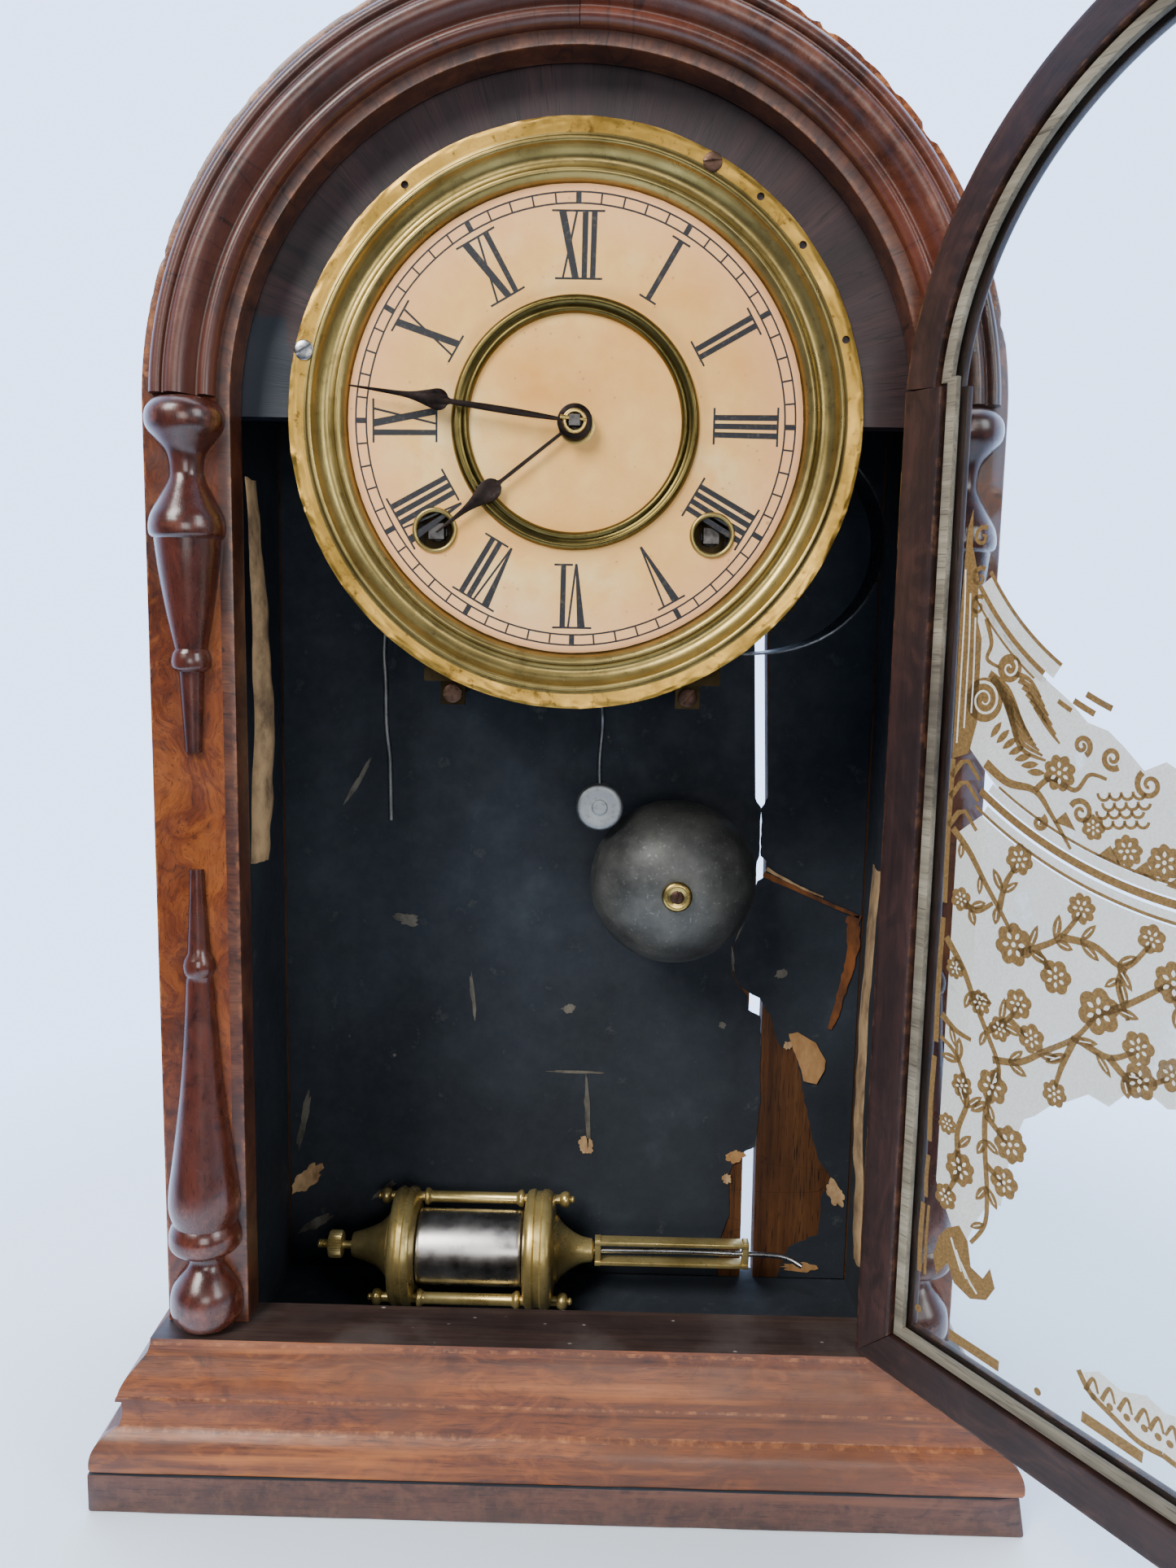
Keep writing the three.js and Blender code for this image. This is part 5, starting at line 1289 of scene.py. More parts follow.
def draw_half(half):
    # pale ground: the band round the dial opening, the scroll zone, and the field below
    half.band("cream", 77.3, 3.4, 33, 56)
    half.band("cream", 81.0, 1.6, 34, 56)
    zone = [(80.4 * math.sin(math.radians(a)), DIAL_Z - 80.4 * math.cos(math.radians(a))) for a in range(56, 33, -2)]
    zone += [(38, 243), (33, 238.5), (27.5, 237), (23, 233.5), (18, 229), (13, 231.5), (8, 229), (0.02, 230.5)]
    zone += [(110 * math.sin(math.radians(a)), DIAL_Z - 110 * math.cos(math.radians(a)))
             for a in [0.02 + 1.65 * i for i in range(20)]]
    half.put("cream", zone + [(66, 229), (66.5, 250), (66, 267)])
    half.band("cream", 111.3, 2.4, 0.02, 32)
    half.band("cream", 116.6, 2.0, 0.02, 31)
    field = [(118.8 * math.sin(math.radians(a)), DIAL_Z - 118.8 * math.cos(math.radians(a)))
             for a in [0.02 + 1.55 * i for i in range(21)]]
    half.put("cream", field + [(68.5, 207), (68.5, 112), (62, 101), (59, 97.5), (57, 101), (54.5, 107), (51.5, 112.5),
                               (47.5, 114), (46.4, 124), (45, 131.5), (42.5, 139), (39.5, 141), (35, 145.5),
                               (30.5, 148), (25.5, 151.5), (20, 150.5), (16, 155), (11.5, 157.5), (6, 155), (0.02, 157)])
    # gilt lines of the two bands
    for radius, width, low, high in (
            (75.2, 0.9, 33, 57), (79.6, 1.3, 35, 56), (82.2, 0.6, 36, 55), (80.2, 1.5, 23, 27.5), (77.2, 1.5, 20.5, 26),
            (82.5, 1.2, 27, 30), (109.6, 0.7, 0.02, 31), (113.9, 2.0, 0.02, 33), (118.0, 0.8, 0.02, 32.5)):
        half.band("gold", radius, width, low, high)
    # upright border beside the stile
    half.put("gold", [(71.6, 226), (71.8, 262), (71, 284), (69.6, 289), (69.2, 280), (66.6, 272), (66.4, 262),
                      (64.6, 257), (64.4, 236), (66.4, 228)])
    for x in (70.4, 68.4, 66.4):
        half.stroke("light", [(x, 229 + 2 * (71 - x)), (x, 262 - 3 * (71 - x)), (x + 0.5, 276 - 3 * (71 - x))], 0.45)
    for z in (226, 220.5, 213):
        half.stroke("gold", [(71.5, z - 4.5), (68.5, z - 0.6), (66.4, z), (62.5, z - 4.5)], 1.6, 1.0, smooth=0)
    for low, high, x, width in ((188, 226, 71.2, 1.5), (150, 184, 71.4, 1.6), (122, 146, 71.6, 1.6), (106, 118, 71.6, 1.3),
                                (84, 104, 72.4, 1.5), (84, 104, 70.4, 0.9)):
        half.stroke("gold", [(x, low), (x + 0.3, (low + high) / 2), (x, high)], width)
    for z in (272, 265, 282):
        half.curl("gold", 66.2, z, 2.6, 1.0, 1.2, 1.1, -1)
    half.stroke("gold", [(63.5, 262), (61.5, 256), (62.5, 252), (58.5, 250)], 1.4, 0.8)
    # scrolls with plumes between the bands
    half.put("gold", around(62.6, 241.8, 5.6, 36))
    half.curl("light", 62.6, 241.8, 4.6, 1.2, 0.75, 1.7)
    half.put("gold", around(55.6, 250, 3.5, 30))
    half.curl("light", 55.6, 250, 2.4, 2.2, 0.7, 1.1)
    for k in range(8):
        half.stroke("gold", [(61.5 - 0.9 * k, 248.4 - 0.9 * k), (55.4 - 0.6 * k, 244.6 - 1.9 * k),
                             (50.5 - 1.0 * k, 236.2 - 1.1 * k)], 2.0, 0.6)
    for k in range(6):
        half.stroke("gold", [(54 - 1.3 * k, 248.8 - 1.5 * k), (49.5 - 1.2 * k, 247.4 - 2.2 * k),
                             (46 - 1.2 * k, 243.4 - 2.1 * k)], 1.6, 0.5)
    for k in range(7):
        half.put("gold", leaf(60 - 1.9 * k, 232.5 - 1.2 * k, 5.2, 1.8, 2.2 + 0.15 * k))
    half.stroke("gold", [(61, 226), (54, 222), (46, 221), (41, 216), (35, 208.5)], 2.6, 0.8)
    half.stroke("gold", [(46, 221), (41.5, 224.5), (35, 222.5), (31.5, 226.5), (27, 226)], 1.6, 0.8)
    for x, z, size, turn, flip in ((33, 217.5, 3.0, 0.4, 1), (16.5, 226, 3.2, 2.2, -1), (26, 231, 2.6, 4.0, 1),
                                   (6, 222, 3.4, 1.0, 1), (34, 233, 2.4, 5.2, -1), (44, 213.5, 1.9, 2.0, 1)):
        half.curl("gold", x, z, size, turn, 1.5, 1.4, flip)
    for row in range(4):
        for k in range(4):
            x, z = 27.5 - 2.9 * k - 1.4 * (row % 2), 222.6 - 2.1 * row + 0.5 * k
            half.stroke("gold", [(x + 1.5 * math.cos(a), z - 1.5 * math.sin(a)) for a in
                                 [math.pi * i / 8 for i in range(9)]], 0.75, smooth=0)
    for x, z in ((37, 212.5), (24.8, 206.5), (15.8, 204.4), (7.6, 202.9)):
        half.put("gold", [(x + 3.2, z + 1.6), (x, z + 4.6), (x - 3, z + 0.5), (x, z + 1.2)])
    for branch in BRANCHES:
        half.branch(branch)
    for x, z, size in FLOWERS:
        half.flower(x, z, 1.16 * size)
    # what is left of the foot of the border
    half.put("gold", [(64, 100.5), (60, 103), (57, 100), (55.5, 93.5), (51.5, 92.2), (49.5, 96), (47.6, 91.4),
                      (50, 87), (55, 84.8), (60.5, 86.5), (63, 91), (66.5, 86), (68, 91), (66.5, 97)])
    for k in range(4):
        half.stroke("light", [(62.4 - 1.8 * k, 98.5 - 2.6 * k), (58.4 - 1.8 * k, 90.8 - 1.2 * k)], 0.6, smooth=0)
    half.stroke("gold", [(61, 71.6), (44.8, 71.4)], 2.9, smooth=0)
    half.stroke("gold", [(20.6, 72.4), (4.6, 71.8)], 2.9, smooth=0)
    half.put("gold", around(72, 73.2, 1.1, 16))
    half.put("gold", around(33, 71.4, 1.0, 16))
    half.put("cream", [(22, 83), (17, 86), (11, 84.5), (5, 87), (0.02, 85.5), (0.02, 76), (6, 75.4), (13, 77.8),
                       (19, 79.8)])
    half.stroke("gold", [(22.4, 83.4), (19, 79.6), (13, 77.2), (6, 75), (0.02, 75.4)], 1.5)
    for x in (18, 13.6, 9.2, 4.8, 1.4):
        half.stroke("gold", [(x + 2.2, 79.4), (x + 0.4, 83.4), (x - 1.2, 80.4)], 1.2, 0.6)
        half.put("gold", around(x, 79, 0.9, 12))


def build_stencil():
    random.seed(23)
    films = {"cream": Film(-37.975, -37.955), "gold": Film(-37.99, -37.915), "light": Film(-38.005, -37.885)}
    for side in (1, -1):
        draw_half(HalfPattern(side, films["cream"], films["gold"], films["light"]))
    for name, material in (("cream", ground), ("gold", gilt), ("light", pale_gilt)):
        add_mesh("glass_border_" + name, films[name].verts, films[name].faces, material, "door",
                 shut_door=True)


build_stencil()


# ---------------------------------------------------------------- door, drawn shut and turned to where it stands
DOOR_FRONT, DOOR_BACK, LIP_BACK = -43.7, -34.5, -40.2
LIP = 4.4


def lipped(outer, inner):
    lip = inner - LIP
    return rounded([(outer, DOOR_FRONT), (outer, DOOR_BACK), (inner, DOOR_BACK), (inner, LIP_BACK), (lip, LIP_BACK),
                    (lip, DOOR_FRONT + 1.6), (lip + 1.6, DOOR_FRONT)], 0.45, 2)


def build_door_frame():
    def rub(r, y):
        return 0.9 if abs(r - DOOR_HALF) < 0.6 or abs(r - ARCH_INNER) < 0.5 or abs(r - STILE_INNER) < 0.5 else 0.1

    low = math.degrees(math.asin((STILE_TOP + 0.15 - DIAL_Z) / 86))
    arch_sweep("door_arch_shaped", lipped(DOOR_HALF, ARCH_INNER),
               arch_stations(None, None, 180 - low, low, arc_steps=110), door_wood, "door", "door_arch",
               wear=rub, shut_door=True)
    slope = (DOOR_HALF - STILE_INNER) / (RAIL_INNER - DOOR_BOTTOM)
    section = lipped(DOOR_HALF, STILE_INNER)
    for name, side in (("hinge", 1), ("latch", -1)):
        verts, grain, wear = [], [], []
        steps = 70
        for i in range(steps + 1):
            t = i / steps
            for r, y in section:
                foot = DOOR_BOTTOM + 0.15 + (DOOR_HALF - r) / slope
                z = foot + (STILE_TOP - 0.15 - foot) * t
                x = side * (r - (0.15 * max(0, wobble(0, y, z, 0.2)) if abs(r - DOOR_HALF) < 0.6 else 0))
                verts.append((x, y, z))
                grain.append((z, r, y))
                wear.append(rub(r, y))
        count = len(section)
        faces = grid_faces(steps + 1, count, wrap_columns=True)
        faces += [tuple(range(count)), tuple(steps * count + j for j in reversed(range(count)))]
        stile = add_mesh(f"door_stile_{name}_shaped", verts, faces, door_wood, "door",
                         f"door_stile_{name}", grain, wear, shut_door=True)
        if side < 0:
            hole = lathe([(0, -60), (1.85, -60), (1.85, 0), (0, 0)], "Y", (-85.5, 190), 24)
            carve(stile, [([from_shut(v) for v in hole[0]], hole[1])])
    lip_top = RAIL_INNER + LIP - 0.3
    rail = rounded([(DOOR_FRONT, DOOR_BOTTOM), (DOOR_BACK, DOOR_BOTTOM), (DOOR_BACK, RAIL_INNER),
                    (LIP_BACK, RAIL_INNER), (LIP_BACK, lip_top), (DOOR_FRONT + 1.4, lip_top),
                    (DOOR_FRONT, lip_top - 1.4)], 0.45, 2)
    verts, grain, wear = [], [], []
    steps = 70
    for i in range(steps + 1):
        t = i / steps
        for y, z in rail:
            reach = DOOR_HALF - slope * (z - DOOR_BOTTOM) - 0.15
            x = -reach + 2 * reach * t
            verts.append((x, y, z))
            grain.append((x, z, y))
            wear.append(0.9 if min(abs(z - DOOR_BOTTOM), abs(z - lip_top)) < 0.6 else 0.2)
    count = len(rail)
    faces = grid_faces(steps + 1, count, wrap_columns=True)
    faces += [tuple(range(count)), tuple(steps * count + j for j in reversed(range(count)))]
    add_mesh("door_rail_shaped", verts, faces, door_wood, "door", "door_rail", grain, wear,
             shut_door=True)


build_door_frame()


def arched_outline(half, radius, bottom, springing, count=90):
    """A closed outline with upright sides and a round top."""
    start = math.asin((springing - DIAL_Z) / radius)
    arc = [(radius * math.cos(a), DIAL_Z + radius * math.sin(a))
           for a in [start + (math.pi - 2 * start) * i / count for i in range(count + 1)]]
    return [(half, bottom), (half, springing)] + arc + [(-half, springing), (-half, bottom)]


flat_piece("door_glass_sheet", [arched_outline(STILE_INNER - 0.6, ARCH_INNER - 0.6, RAIL_INNER + 0.6, 320.6)],
           -40, -38.03, glass, "door", "door_glass", shut_door=True)


def build_bead():
    """Putty and thin strips that hold the glass."""
    outer = arched_outline(STILE_INNER - 0.6, ARCH_INNER - 0.6, RAIL_INNER + 0.6, 320.6)
    inner = arched_outline(STILE_INNER - 3.6, ARCH_INNER - 3.6, RAIL_INNER + 3.6, 322)
    flat_piece("glass_bead_strips", [outer], -37.75, -35.8, putty_wood, "door", "glass_bead",
               holes=[inner], bevel=0.35, shut_door=True)


build_bead()

for level in ("lower", "upper"):
    dress(f"hinge_leaf_case_{level}", hinge_brass, 0.1)
    dress(f"hinge_leaf_door_{level}", hinge_brass, 0.1)
dress("latch_knob", hinge_brass, 0.2)
for level in ("lower", "upper"):
    leaf_low, leaf_high = box_mm(f"hinge_leaf_case_{level}")
    slab(f"hinge_edge_{level}", (92.15, FRAME_FRONT + 1.2, leaf_low[2] + 0.3), (92.95, FRAME_BACK - 1, leaf_high[2] - 0.3),
         small_brass, "case", radius=0.15, cell=6)


# ---------------------------------------------------------------- dial pan
def pan_shape(r, y, angle, index):
    """The stamped flange is crimped and wrinkled; the turned inner part stays true."""
    if r < 75.7:
        return r, y
    degrees = math.degrees(angle) % 360
    rim = (r - 75.7) / 4.3
    ripple = 0.3 * noise.noise(Vector((math.cos(angle) * 9, math.sin(angle) * 9, r * 0.3)))
    ripple += 0.22 * noise.noise(Vector((math.cos(angle) * 34, math.sin(angle) * 34, r)))
    for place, width, depth in CRIMPS:
        off = abs((degrees - place + 180) % 360 - 180)
        if off < width:
            ripple -= depth * rim * (1 - off / width)
    bent = r + 0.25 * rim * noise.noise(Vector((math.cos(angle) * 5, math.sin(angle) * 5, 2)))
    return min(bent, 79.95), y + rim * ripple


random.seed(5)
CRIMPS = [(187 + i * 7.2 + random.uniform(-2.4, 2.4), random.uniform(0.8, 1.8), random.uniform(0.3, 0.8))
          for i in range(26)]
PAN_FACE = spline([
    (4.6, -27.5, 1), (63.9, -27.5, 1), (64.4, -27.9), (65.0, -29.0), (65.9, -30.0), (66.7, -30.5), (67.5, -30.4, 1),
    (67.9, -29.8), (69.2, -29.3), (70.6, -29.6), (71.9, -30.6), (73.0, -32.0), (73.5, -32.9), (74.1, -33.25),
    (74.7, -33.1), (75.1, -32.5, 1), (75.7, -32.35, 1), (77.2, -32.4), (78.8, -32.45), (79.9, -32.3, 1)], 4)
PAN_BACK = [(79.9, -31.98), (75.1, -31.95), (73.4, -31.6), (70.9, -29.0), (66.6, -28.2), (65.2, -26.9), (4.6, -26.9)]
pan = turned("dial_pan_spun", PAN_FACE + PAN_BACK, "Y", (0, DIAL_Z), [pan_brass, flange_brass], "case",
             "dial_pan", segments=360, closed=True, shape=pan_shape, sharp=50)
for polygon in pan.data.polygons:
    centre = polygon.center / MM
    if math.hypot(centre.x, centre.z - DIAL_Z) > 75.4:
        polygon.material_index = 1
FLANGE_HOLES = (127.5, 50.5, 37.8, 17.2)
carve(pan, [hole_y(-WINDING_X, WINDING_Z, 5.9, -40, -20), hole_y(WINDING_X, WINDING_Z, 5.9, -40, -20)] + [
    hole_y(77.6 * math.cos(math.radians(a)), DIAL_Z + 77.6 * math.sin(math.radians(a)), 1.05, -40, -31, 20)
    for a in FLANGE_HOLES])


def slotted_screw(name, centre, radius, y_face, material, body, slot_angle, depth=1.0, dome=0.45):
    """A round-headed screw with its slot, looking towards -Y."""
    x, z = centre
    profile = spline([(0, y_face - dome), (radius * 0.55, y_face - dome * 0.85), (radius * 0.9, y_face - dome * 0.35),
                      (radius, y_face, 1), (radius, y_face + depth, 1), (0, y_face + depth)], 4)
    screw = turned(name, profile, "Y", (x, z), material, body, segments=36)
    c, s = math.cos(slot_angle), math.sin(slot_angle)
    w, l = radius * 0.16, radius * 1.3
    corners = [(-l, -w), (l, -w), (l, w), (-l, w)]
    verts = [(x + u * c - v * s, y, z + u * s + v * c) for y in (y_face - dome - 1, y_face - dome * 0.1 + 0.12)
             for u, v in corners]
    faces = [(0, 1, 2, 3), (7, 6, 5, 4), (0, 4, 5, 1), (1, 5, 6, 2), (2, 6, 7, 3), (3, 7, 4, 0)]
    carve(screw, [(verts, faces)])
    return screw


def flange_place(degrees, radius=77.4):
    a = math.radians(degrees)
    return radius * math.cos(a), DIAL_Z + radius * math.sin(a)


brown_steel = steel("brown_steel", "6b5446", "42302a", "2c1a12", (0.4, 0.6), 0.6)
slotted_screw("dial_screw_left", flange_place(166.6), 2.7, -32.75, bright_steel, "case", 0.5)
slotted_screw("dial_screw_top", flange_place(62.2), 2.6, -32.7, brown_steel, "case", 0.1)

# ---------------------------------------------------------------- paper dial and its printing
PAPER_FRONT = box_mm("dial_paper")[0][1]
paper_centre = [(0.5 + x, z - 0.5) for x, z in circle(0, DIAL_Z, 5.1, 60, 0.07, 2)]
paper_edge = circle(0, DIAL_Z, 64.05, 220, 0.002, 6)
flat_piece("dial_paper_sheet", [paper_edge], PAPER_FRONT, PAPER_FRONT + 0.3, dial_paper, "case",
           "dial_paper", holes=[paper_centre, circle(-WINDING_X, WINDING_Z, 5.75, 40), circle(WINDING_X, WINDING_Z, 5.75, 40)])

NUMERAL_FOOT, NUMERAL_TOP = 38.8, 57.2
STROKE = 1.55
PITCH = 2.42
HAIR = 0.56
OVERHANG = 1.55


def numeral_strokes(text):
    """The strokes of an upright Roman numeral as four-cornered outlines, u to the right and v outwards."""
    foot, top = NUMERAL_FOOT, NUMERAL_TOP
    strokes, cursor = [], 0.0
    serif_bottom = []
    for letter in text:
        if letter == "I":
            width = PITCH
            middle = cursor + width / 2
            strokes.append([(middle - STROKE / 2, foot), (middle + STROKE / 2, foot), (middle + STROKE / 2, top),
                            (middle - STROKE / 2, top)])
            serif_bottom.append((cursor, cursor + width))
        elif letter == "V":
            width = 5.4
            strokes.append([(cursor + 2.5, foot), (cursor + 3.1, foot), (cursor + 2.4, top), (cursor + 0.2, top)])
            strokes.append([(cursor + 2.6, foot), (cursor + 3.2, foot), (cursor + 5.3, top), (cursor + 4.75, top)])
        else:
            width = 6.2
            strokes.append([(cursor + 4.0, foot), (cursor + 6.0, foot), (cursor + 2.2, top), (cursor + 0.2, top)])
            strokes.append([(cursor + 0.9, foot), (cursor + 1.5, foot), (cursor + 5.5, top), (cursor + 4.9, top)])
            serif_bottom.append((cursor + 0.6, cursor + width))
        cursor += width
    strokes.append([(-OVERHANG, top - HAIR), (cursor + OVERHANG, top - HAIR), (cursor + OVERHANG, top),
                    (-OVERHANG, top)])
    if serif_bottom:
        a, b = serif_bottom[0][0] - OVERHANG, serif_bottom[-1][1] + OVERHANG
        strokes.append([(a, foot), (b, foot), (b, foot + HAIR), (a, foot + HAIR)])
    middle = cursor / 2
    return [[(u - middle, v) for u, v in stroke] for stroke in strokes]


def turned_clockwise(u, v, degrees):
    a = math.radians(degrees)
    return u * math.cos(a) + v * math.sin(a), DIAL_Z - u * math.sin(a) + v * math.cos(a)


def build_printing():
    """Numerals, minute circles and blocks as a film of ink on the paper."""
    verts, faces = [], []

    def film(outline, lift=0.035):
        start = len(verts)
        count = len(outline)
        for y in (PAPER_FRONT - lift, PAPER_FRONT - 0.004):
            verts.extend((x, y, z) for x, z in outline)
        faces.append(tuple(range(start, start + count)))
        faces.append(tuple(range(start + 2 * count - 1, start + count - 1, -1)))
        faces.extend((start + k, start + (k + 1) % count, start + count + (k + 1) % count, start + count + k)
                     for k in range(count))

    for hour, text in enumerate(("XII", "I", "II", "III", "IIII", "V", "VI", "VII", "VIII", "IX", "X", "XI")):
        for index, stroke in enumerate(numeral_strokes(text)):
            shrink = 0.965
            placed = [turned_clockwise(u * (shrink + (1 - shrink) * (v - NUMERAL_FOOT) / 18.4 * 2), v, 30 * hour)
                      for u, v in stroke]
            film(placed, 0.035 + 0.003 * index)
    for radius in (58.95, 61.9):
        for i in range(120):
            a, b = 3 * i, 3 * (i + 1)
            film([turned_clockwise(0, radius - 0.24, a), turned_clockwise(0, radius - 0.24, b),
                  turned_clockwise(0, radius + 0.24, b), turned_clockwise(0, radius + 0.24, a)])
    for minute in range(60):
        half = 0.75 if minute % 5 == 0 else 0.24
        film([turned_clockwise(-half, 59.0, 6 * minute), turned_clockwise(half, 59.0, 6 * minute),
              turned_clockwise(half, 61.85, 6 * minute), turned_clockwise(-half, 61.85, 6 * minute)], 0.05)
    add_mesh("dial_printing", verts, faces, ink, "case")


build_printing()

turned("dial_inner_ring_rolled", spline([
    (29.9, -28.15, 1), (30.0, -28.9), (30.5, -29.6), (31.1, -29.8), (31.7, -29.4), (32.1, -29.0, 1), (32.6, -29.25),
    (33.2, -29.65), (33.9, -29.7), (34.6, -29.2), (35.0, -28.15, 1), (29.9, -28.15)], 4)[:-1], "Y", (0, DIAL_Z),
    ring_brass, "case", "dial_inner_ring", segments=200, closed=True)
for side, x in (("left", -WINDING_X), ("right", WINDING_X)):
    turned(f"winding_eyelet_{side}_rolled", spline([
        (5.05, -26.2, 1), (5.05, -28.2), (5.25, -28.75), (5.7, -29.0), (6.2, -28.85), (6.45, -28.3, 1), (5.6, -28.25, 1),
        (5.6, -26.2, 1), (5.05, -26.2)], 4)[:-1], "Y", (x, WINDING_Z), pan_brass, "case",
        f"winding_eyelet_{side}", segments=72, closed=True)


# ---------------------------------------------------------------- hands
def hand_outline(half_widths, hub_radius, degrees):
    """The outline of a pear-shaped hand with a round hub, pointing the given way."""
    side = spline(half_widths, 6)
    tip = side[-1]
    start = math.asin(side[0][1] / hub_radius)
    hub = [(hub_radius * math.sin(a), hub_radius * math.cos(a))
           for a in [start + (TAU - 2 * start) * i / 60 for i in range(61)]]
    right = [(w, r) for r, w in side if r > hub_radius]
    left = [(-w, r) for r, w in reversed(side) if r > hub_radius]
    outline = [(tip[1] * 0.5, tip[0] + 0.05)] + list(reversed(right)) + hub + list(reversed(left))
    return [turned_clockwise(u, v, degrees) for u, v in outline]


MINUTE = [(3.6, 0.5), (14, 0.9), (24, 0.95), (33.4, 0.75), (35.4, 0.95), (36.2, 2.0), (37.3, 2.75), (38.8, 2.95),
          (41.2, 2.3), (45.2, 1.2), (48.5, 0.75), (53, 0.55), (63.4, 0.22)]
HOUR = [(3.6, 0.45), (12, 0.5), (22, 0.55), (26.4, 0.6), (27.2, 1.5), (28.4, 2.6), (30.2, 3.05), (32.2, 2.8),
        (36.0, 1.55), (39.5, 0.85), (43.5, 0.55), (49.4, 0.22)]
for name, widths, hub, hole, degrees, (low_y, high_y) in (
        ("minute_hand", MINUTE, 4.9, 2.4, 277.9, (-33.0, -32.4)), ("hour_hand", HOUR, 4.9, 3.5, 231.5, (-31.0, -30.4))):
    flat_piece(name + "_blade", [hand_outline(widths, hub, degrees)], low_y, high_y, hand_steel,
               "minute_work" if name == "minute_hand" else "hour_work", name,
               holes=[circle(0, DIAL_Z, hole, 40)], bevel=0.12)
turned("hand_washer_domed", spline([(2.3, -33.35, 1), (3.4, -33.35, 1), (3.45, -33.7), (3.2, -34.0), (2.5, -34.0, 1),
                                    (2.3, -33.35)], 4)[:-1], "Y", (0, DIAL_Z), small_brass, "minute_work",
       "hand_washer", segments=48, closed=True)
tube("hand_taper_pin", [(-4.0, -34.7, DIAL_Z + 0.9), (0, -34.75, DIAL_Z + 0.5), (3.2, -34.7, DIAL_Z + 0.2)], 0.55,
     small_brass, "minute_work", sides=12, taper=lambda t: 1.1 - 0.5 * t)


# ---------------------------------------------------------------- movement
# the plates and wheels take the nearly black brass, which has the shade of the case painted into its colour
for node, material in (
        ("front_plate", shaded_brass), ("back_plate", shaded_brass), ("time_great_wheel", shaded_brass),
        ("strike_great_wheel", shaded_brass), ("second_wheel", shaded_brass), ("pin_wheel", shaded_brass),
        ("third_wheel", shaded_brass), ("fourth_wheel", shaded_brass), ("escape_wheel", shaded_brass),
        ("fly", shaded_brass), ("count_wheel", shaded_brass), ("minute_wheel", shaded_brass), ("hour_wheel", small_brass),
        ("time_winding_arbor", old_steel), ("strike_winding_arbor", old_steel), ("centre_arbor", old_steel),
        ("verge", wire_steel), ("strike_mainspring", spring_steel)):
    dress(node, material, 0.12)


def build_time_mainspring():
    """The let-down spring: tight coils, then one slack turn that stands far out towards the case side."""
    main_x, main_z = centre_mm("time_great_wheel")[0], centre_mm("time_great_wheel")[2]
    turns, coiled, per_turn = 4, 3, 72
    verts = []
    steps = turns * per_turn
    for i in range(steps + 1):
        turn = i / per_turn
        if turn < coiled:
            radius = 8 + 22 * turn / coiled
        else:
            part = turn - coiled
            radius = 30 + 4 * part + (0 if part < 0.5 else 20.5 * math.sin(TAU * part) ** 2)
        angle = -math.pi / 2 + (turns - turn) * TAU
        for r, y in ((radius - 0.3, -9.3), (radius + 0.3, -9.3), (radius + 0.3, 9.3), (radius - 0.3, 9.3)):
            verts.append((main_x + r * math.cos(angle), y, main_z + r * math.sin(angle)))
    faces = grid_faces(steps + 1, 4, wrap_columns=True)
    faces += [(0, 1, 2, 3), tuple(steps * 4 + j for j in (3, 2, 1, 0))]
    add_mesh("time_mainspring_blued", verts, faces, spring_steel, "case", "time_mainspring")


build_time_mainspring()

# pendulum rod, strike wires and hammer
tube("pendulum_rod_wire", [
    (0, -21.5, 351.6), (0, -21.5, 338), (-5, -21.5, 329), (-11, -21.5, 320), (-11, -21.5, 308), (-5, -21.5, 299),
    (0, -21.5, 290), (0, -21.5, 270), (0, -21.5, 250), (1.6, -21.5, 246), (4.4, -21.5, 246), (5.2, -21.5, 250)],
    0.6, wire_steel, "pendulum_rod", "pendulum_rod")
TRIP = (-12, 250)
tube("strike_trip_wire_bent", [
    (TRIP[0], 15.2, 250), (-32, 15.2, 251), (-50, 15.2, 254), (-60, 15.2, 257), (-62, 15.2, 250), (-61.6, 15.2, 238),
    (-61.4, 15.2, 224), (-60.4, 15.2, 214), (-60.2, 15.2, 206), (-60, 15.2, 193)], 0.95, wire_steel,
    "strike_trip", "strike_trip_wire")
turned("strike_trip_arbor", spline([(0, -17.6, 1), (0.7, -17.6, 1), (0.7, -16.6, 1), (1.2, -16.6, 1), (1.2, 17, 1),
                                    (0.7, 17, 1), (0.7, 18.4, 1), (0, 18.4)], 2), "Y", TRIP, wire_steel,
       "strike_trip", segments=16)
HAMMER = (9, 255)
HEAD_Z = 198
tube("hammer_wire", [(9, 13.5, 255), (9, 13.5, 247), (9, 13.5, 240), (9, 17, 233), (9.4, 21.5, 226), (8.6, 21.5, 213),
                     (9, 21.5, 201)], 0.85, wire_steel, "hammer", "hammer")
turned("hammer_arbor", spline([(0, -17.6, 1), (0.7, -17.6, 1), (0.7, -16.6, 1), (1.2, -16.6, 1), (1.2, 17, 1),
                               (0.7, 17, 1), (0.7, 18.4, 1), (0, 18.4)], 2), "Y", HAMMER, wire_steel, "hammer",
       segments=16)
turned("hammer_head", spline([
    (0, 18.5), (2.2, 18.45), (2.6, 18.7, 1), (3.2, 18.75), (5.8, 18.5), (6.9, 18.6), (7.6, 19.1), (7.9, 20.0, 1),
    (7.9, 23.2, 1), (7.3, 24.3), (6.0, 24.6), (0, 24.6)], 4), "Y", (9, HEAD_Z), disc_steel, "hammer",
    segments=64)

# bell, its post, nut and screw
BELL = (centre_mm("bell")[0], centre_mm("bell")[2])


def bell_shape(r, y, angle, index):
    """Hammered a little out of true."""
    push = 0.12 * noise.noise(Vector((r * math.cos(angle), y, r * math.sin(angle))) * 0.14)
    return max(0, r + push), y


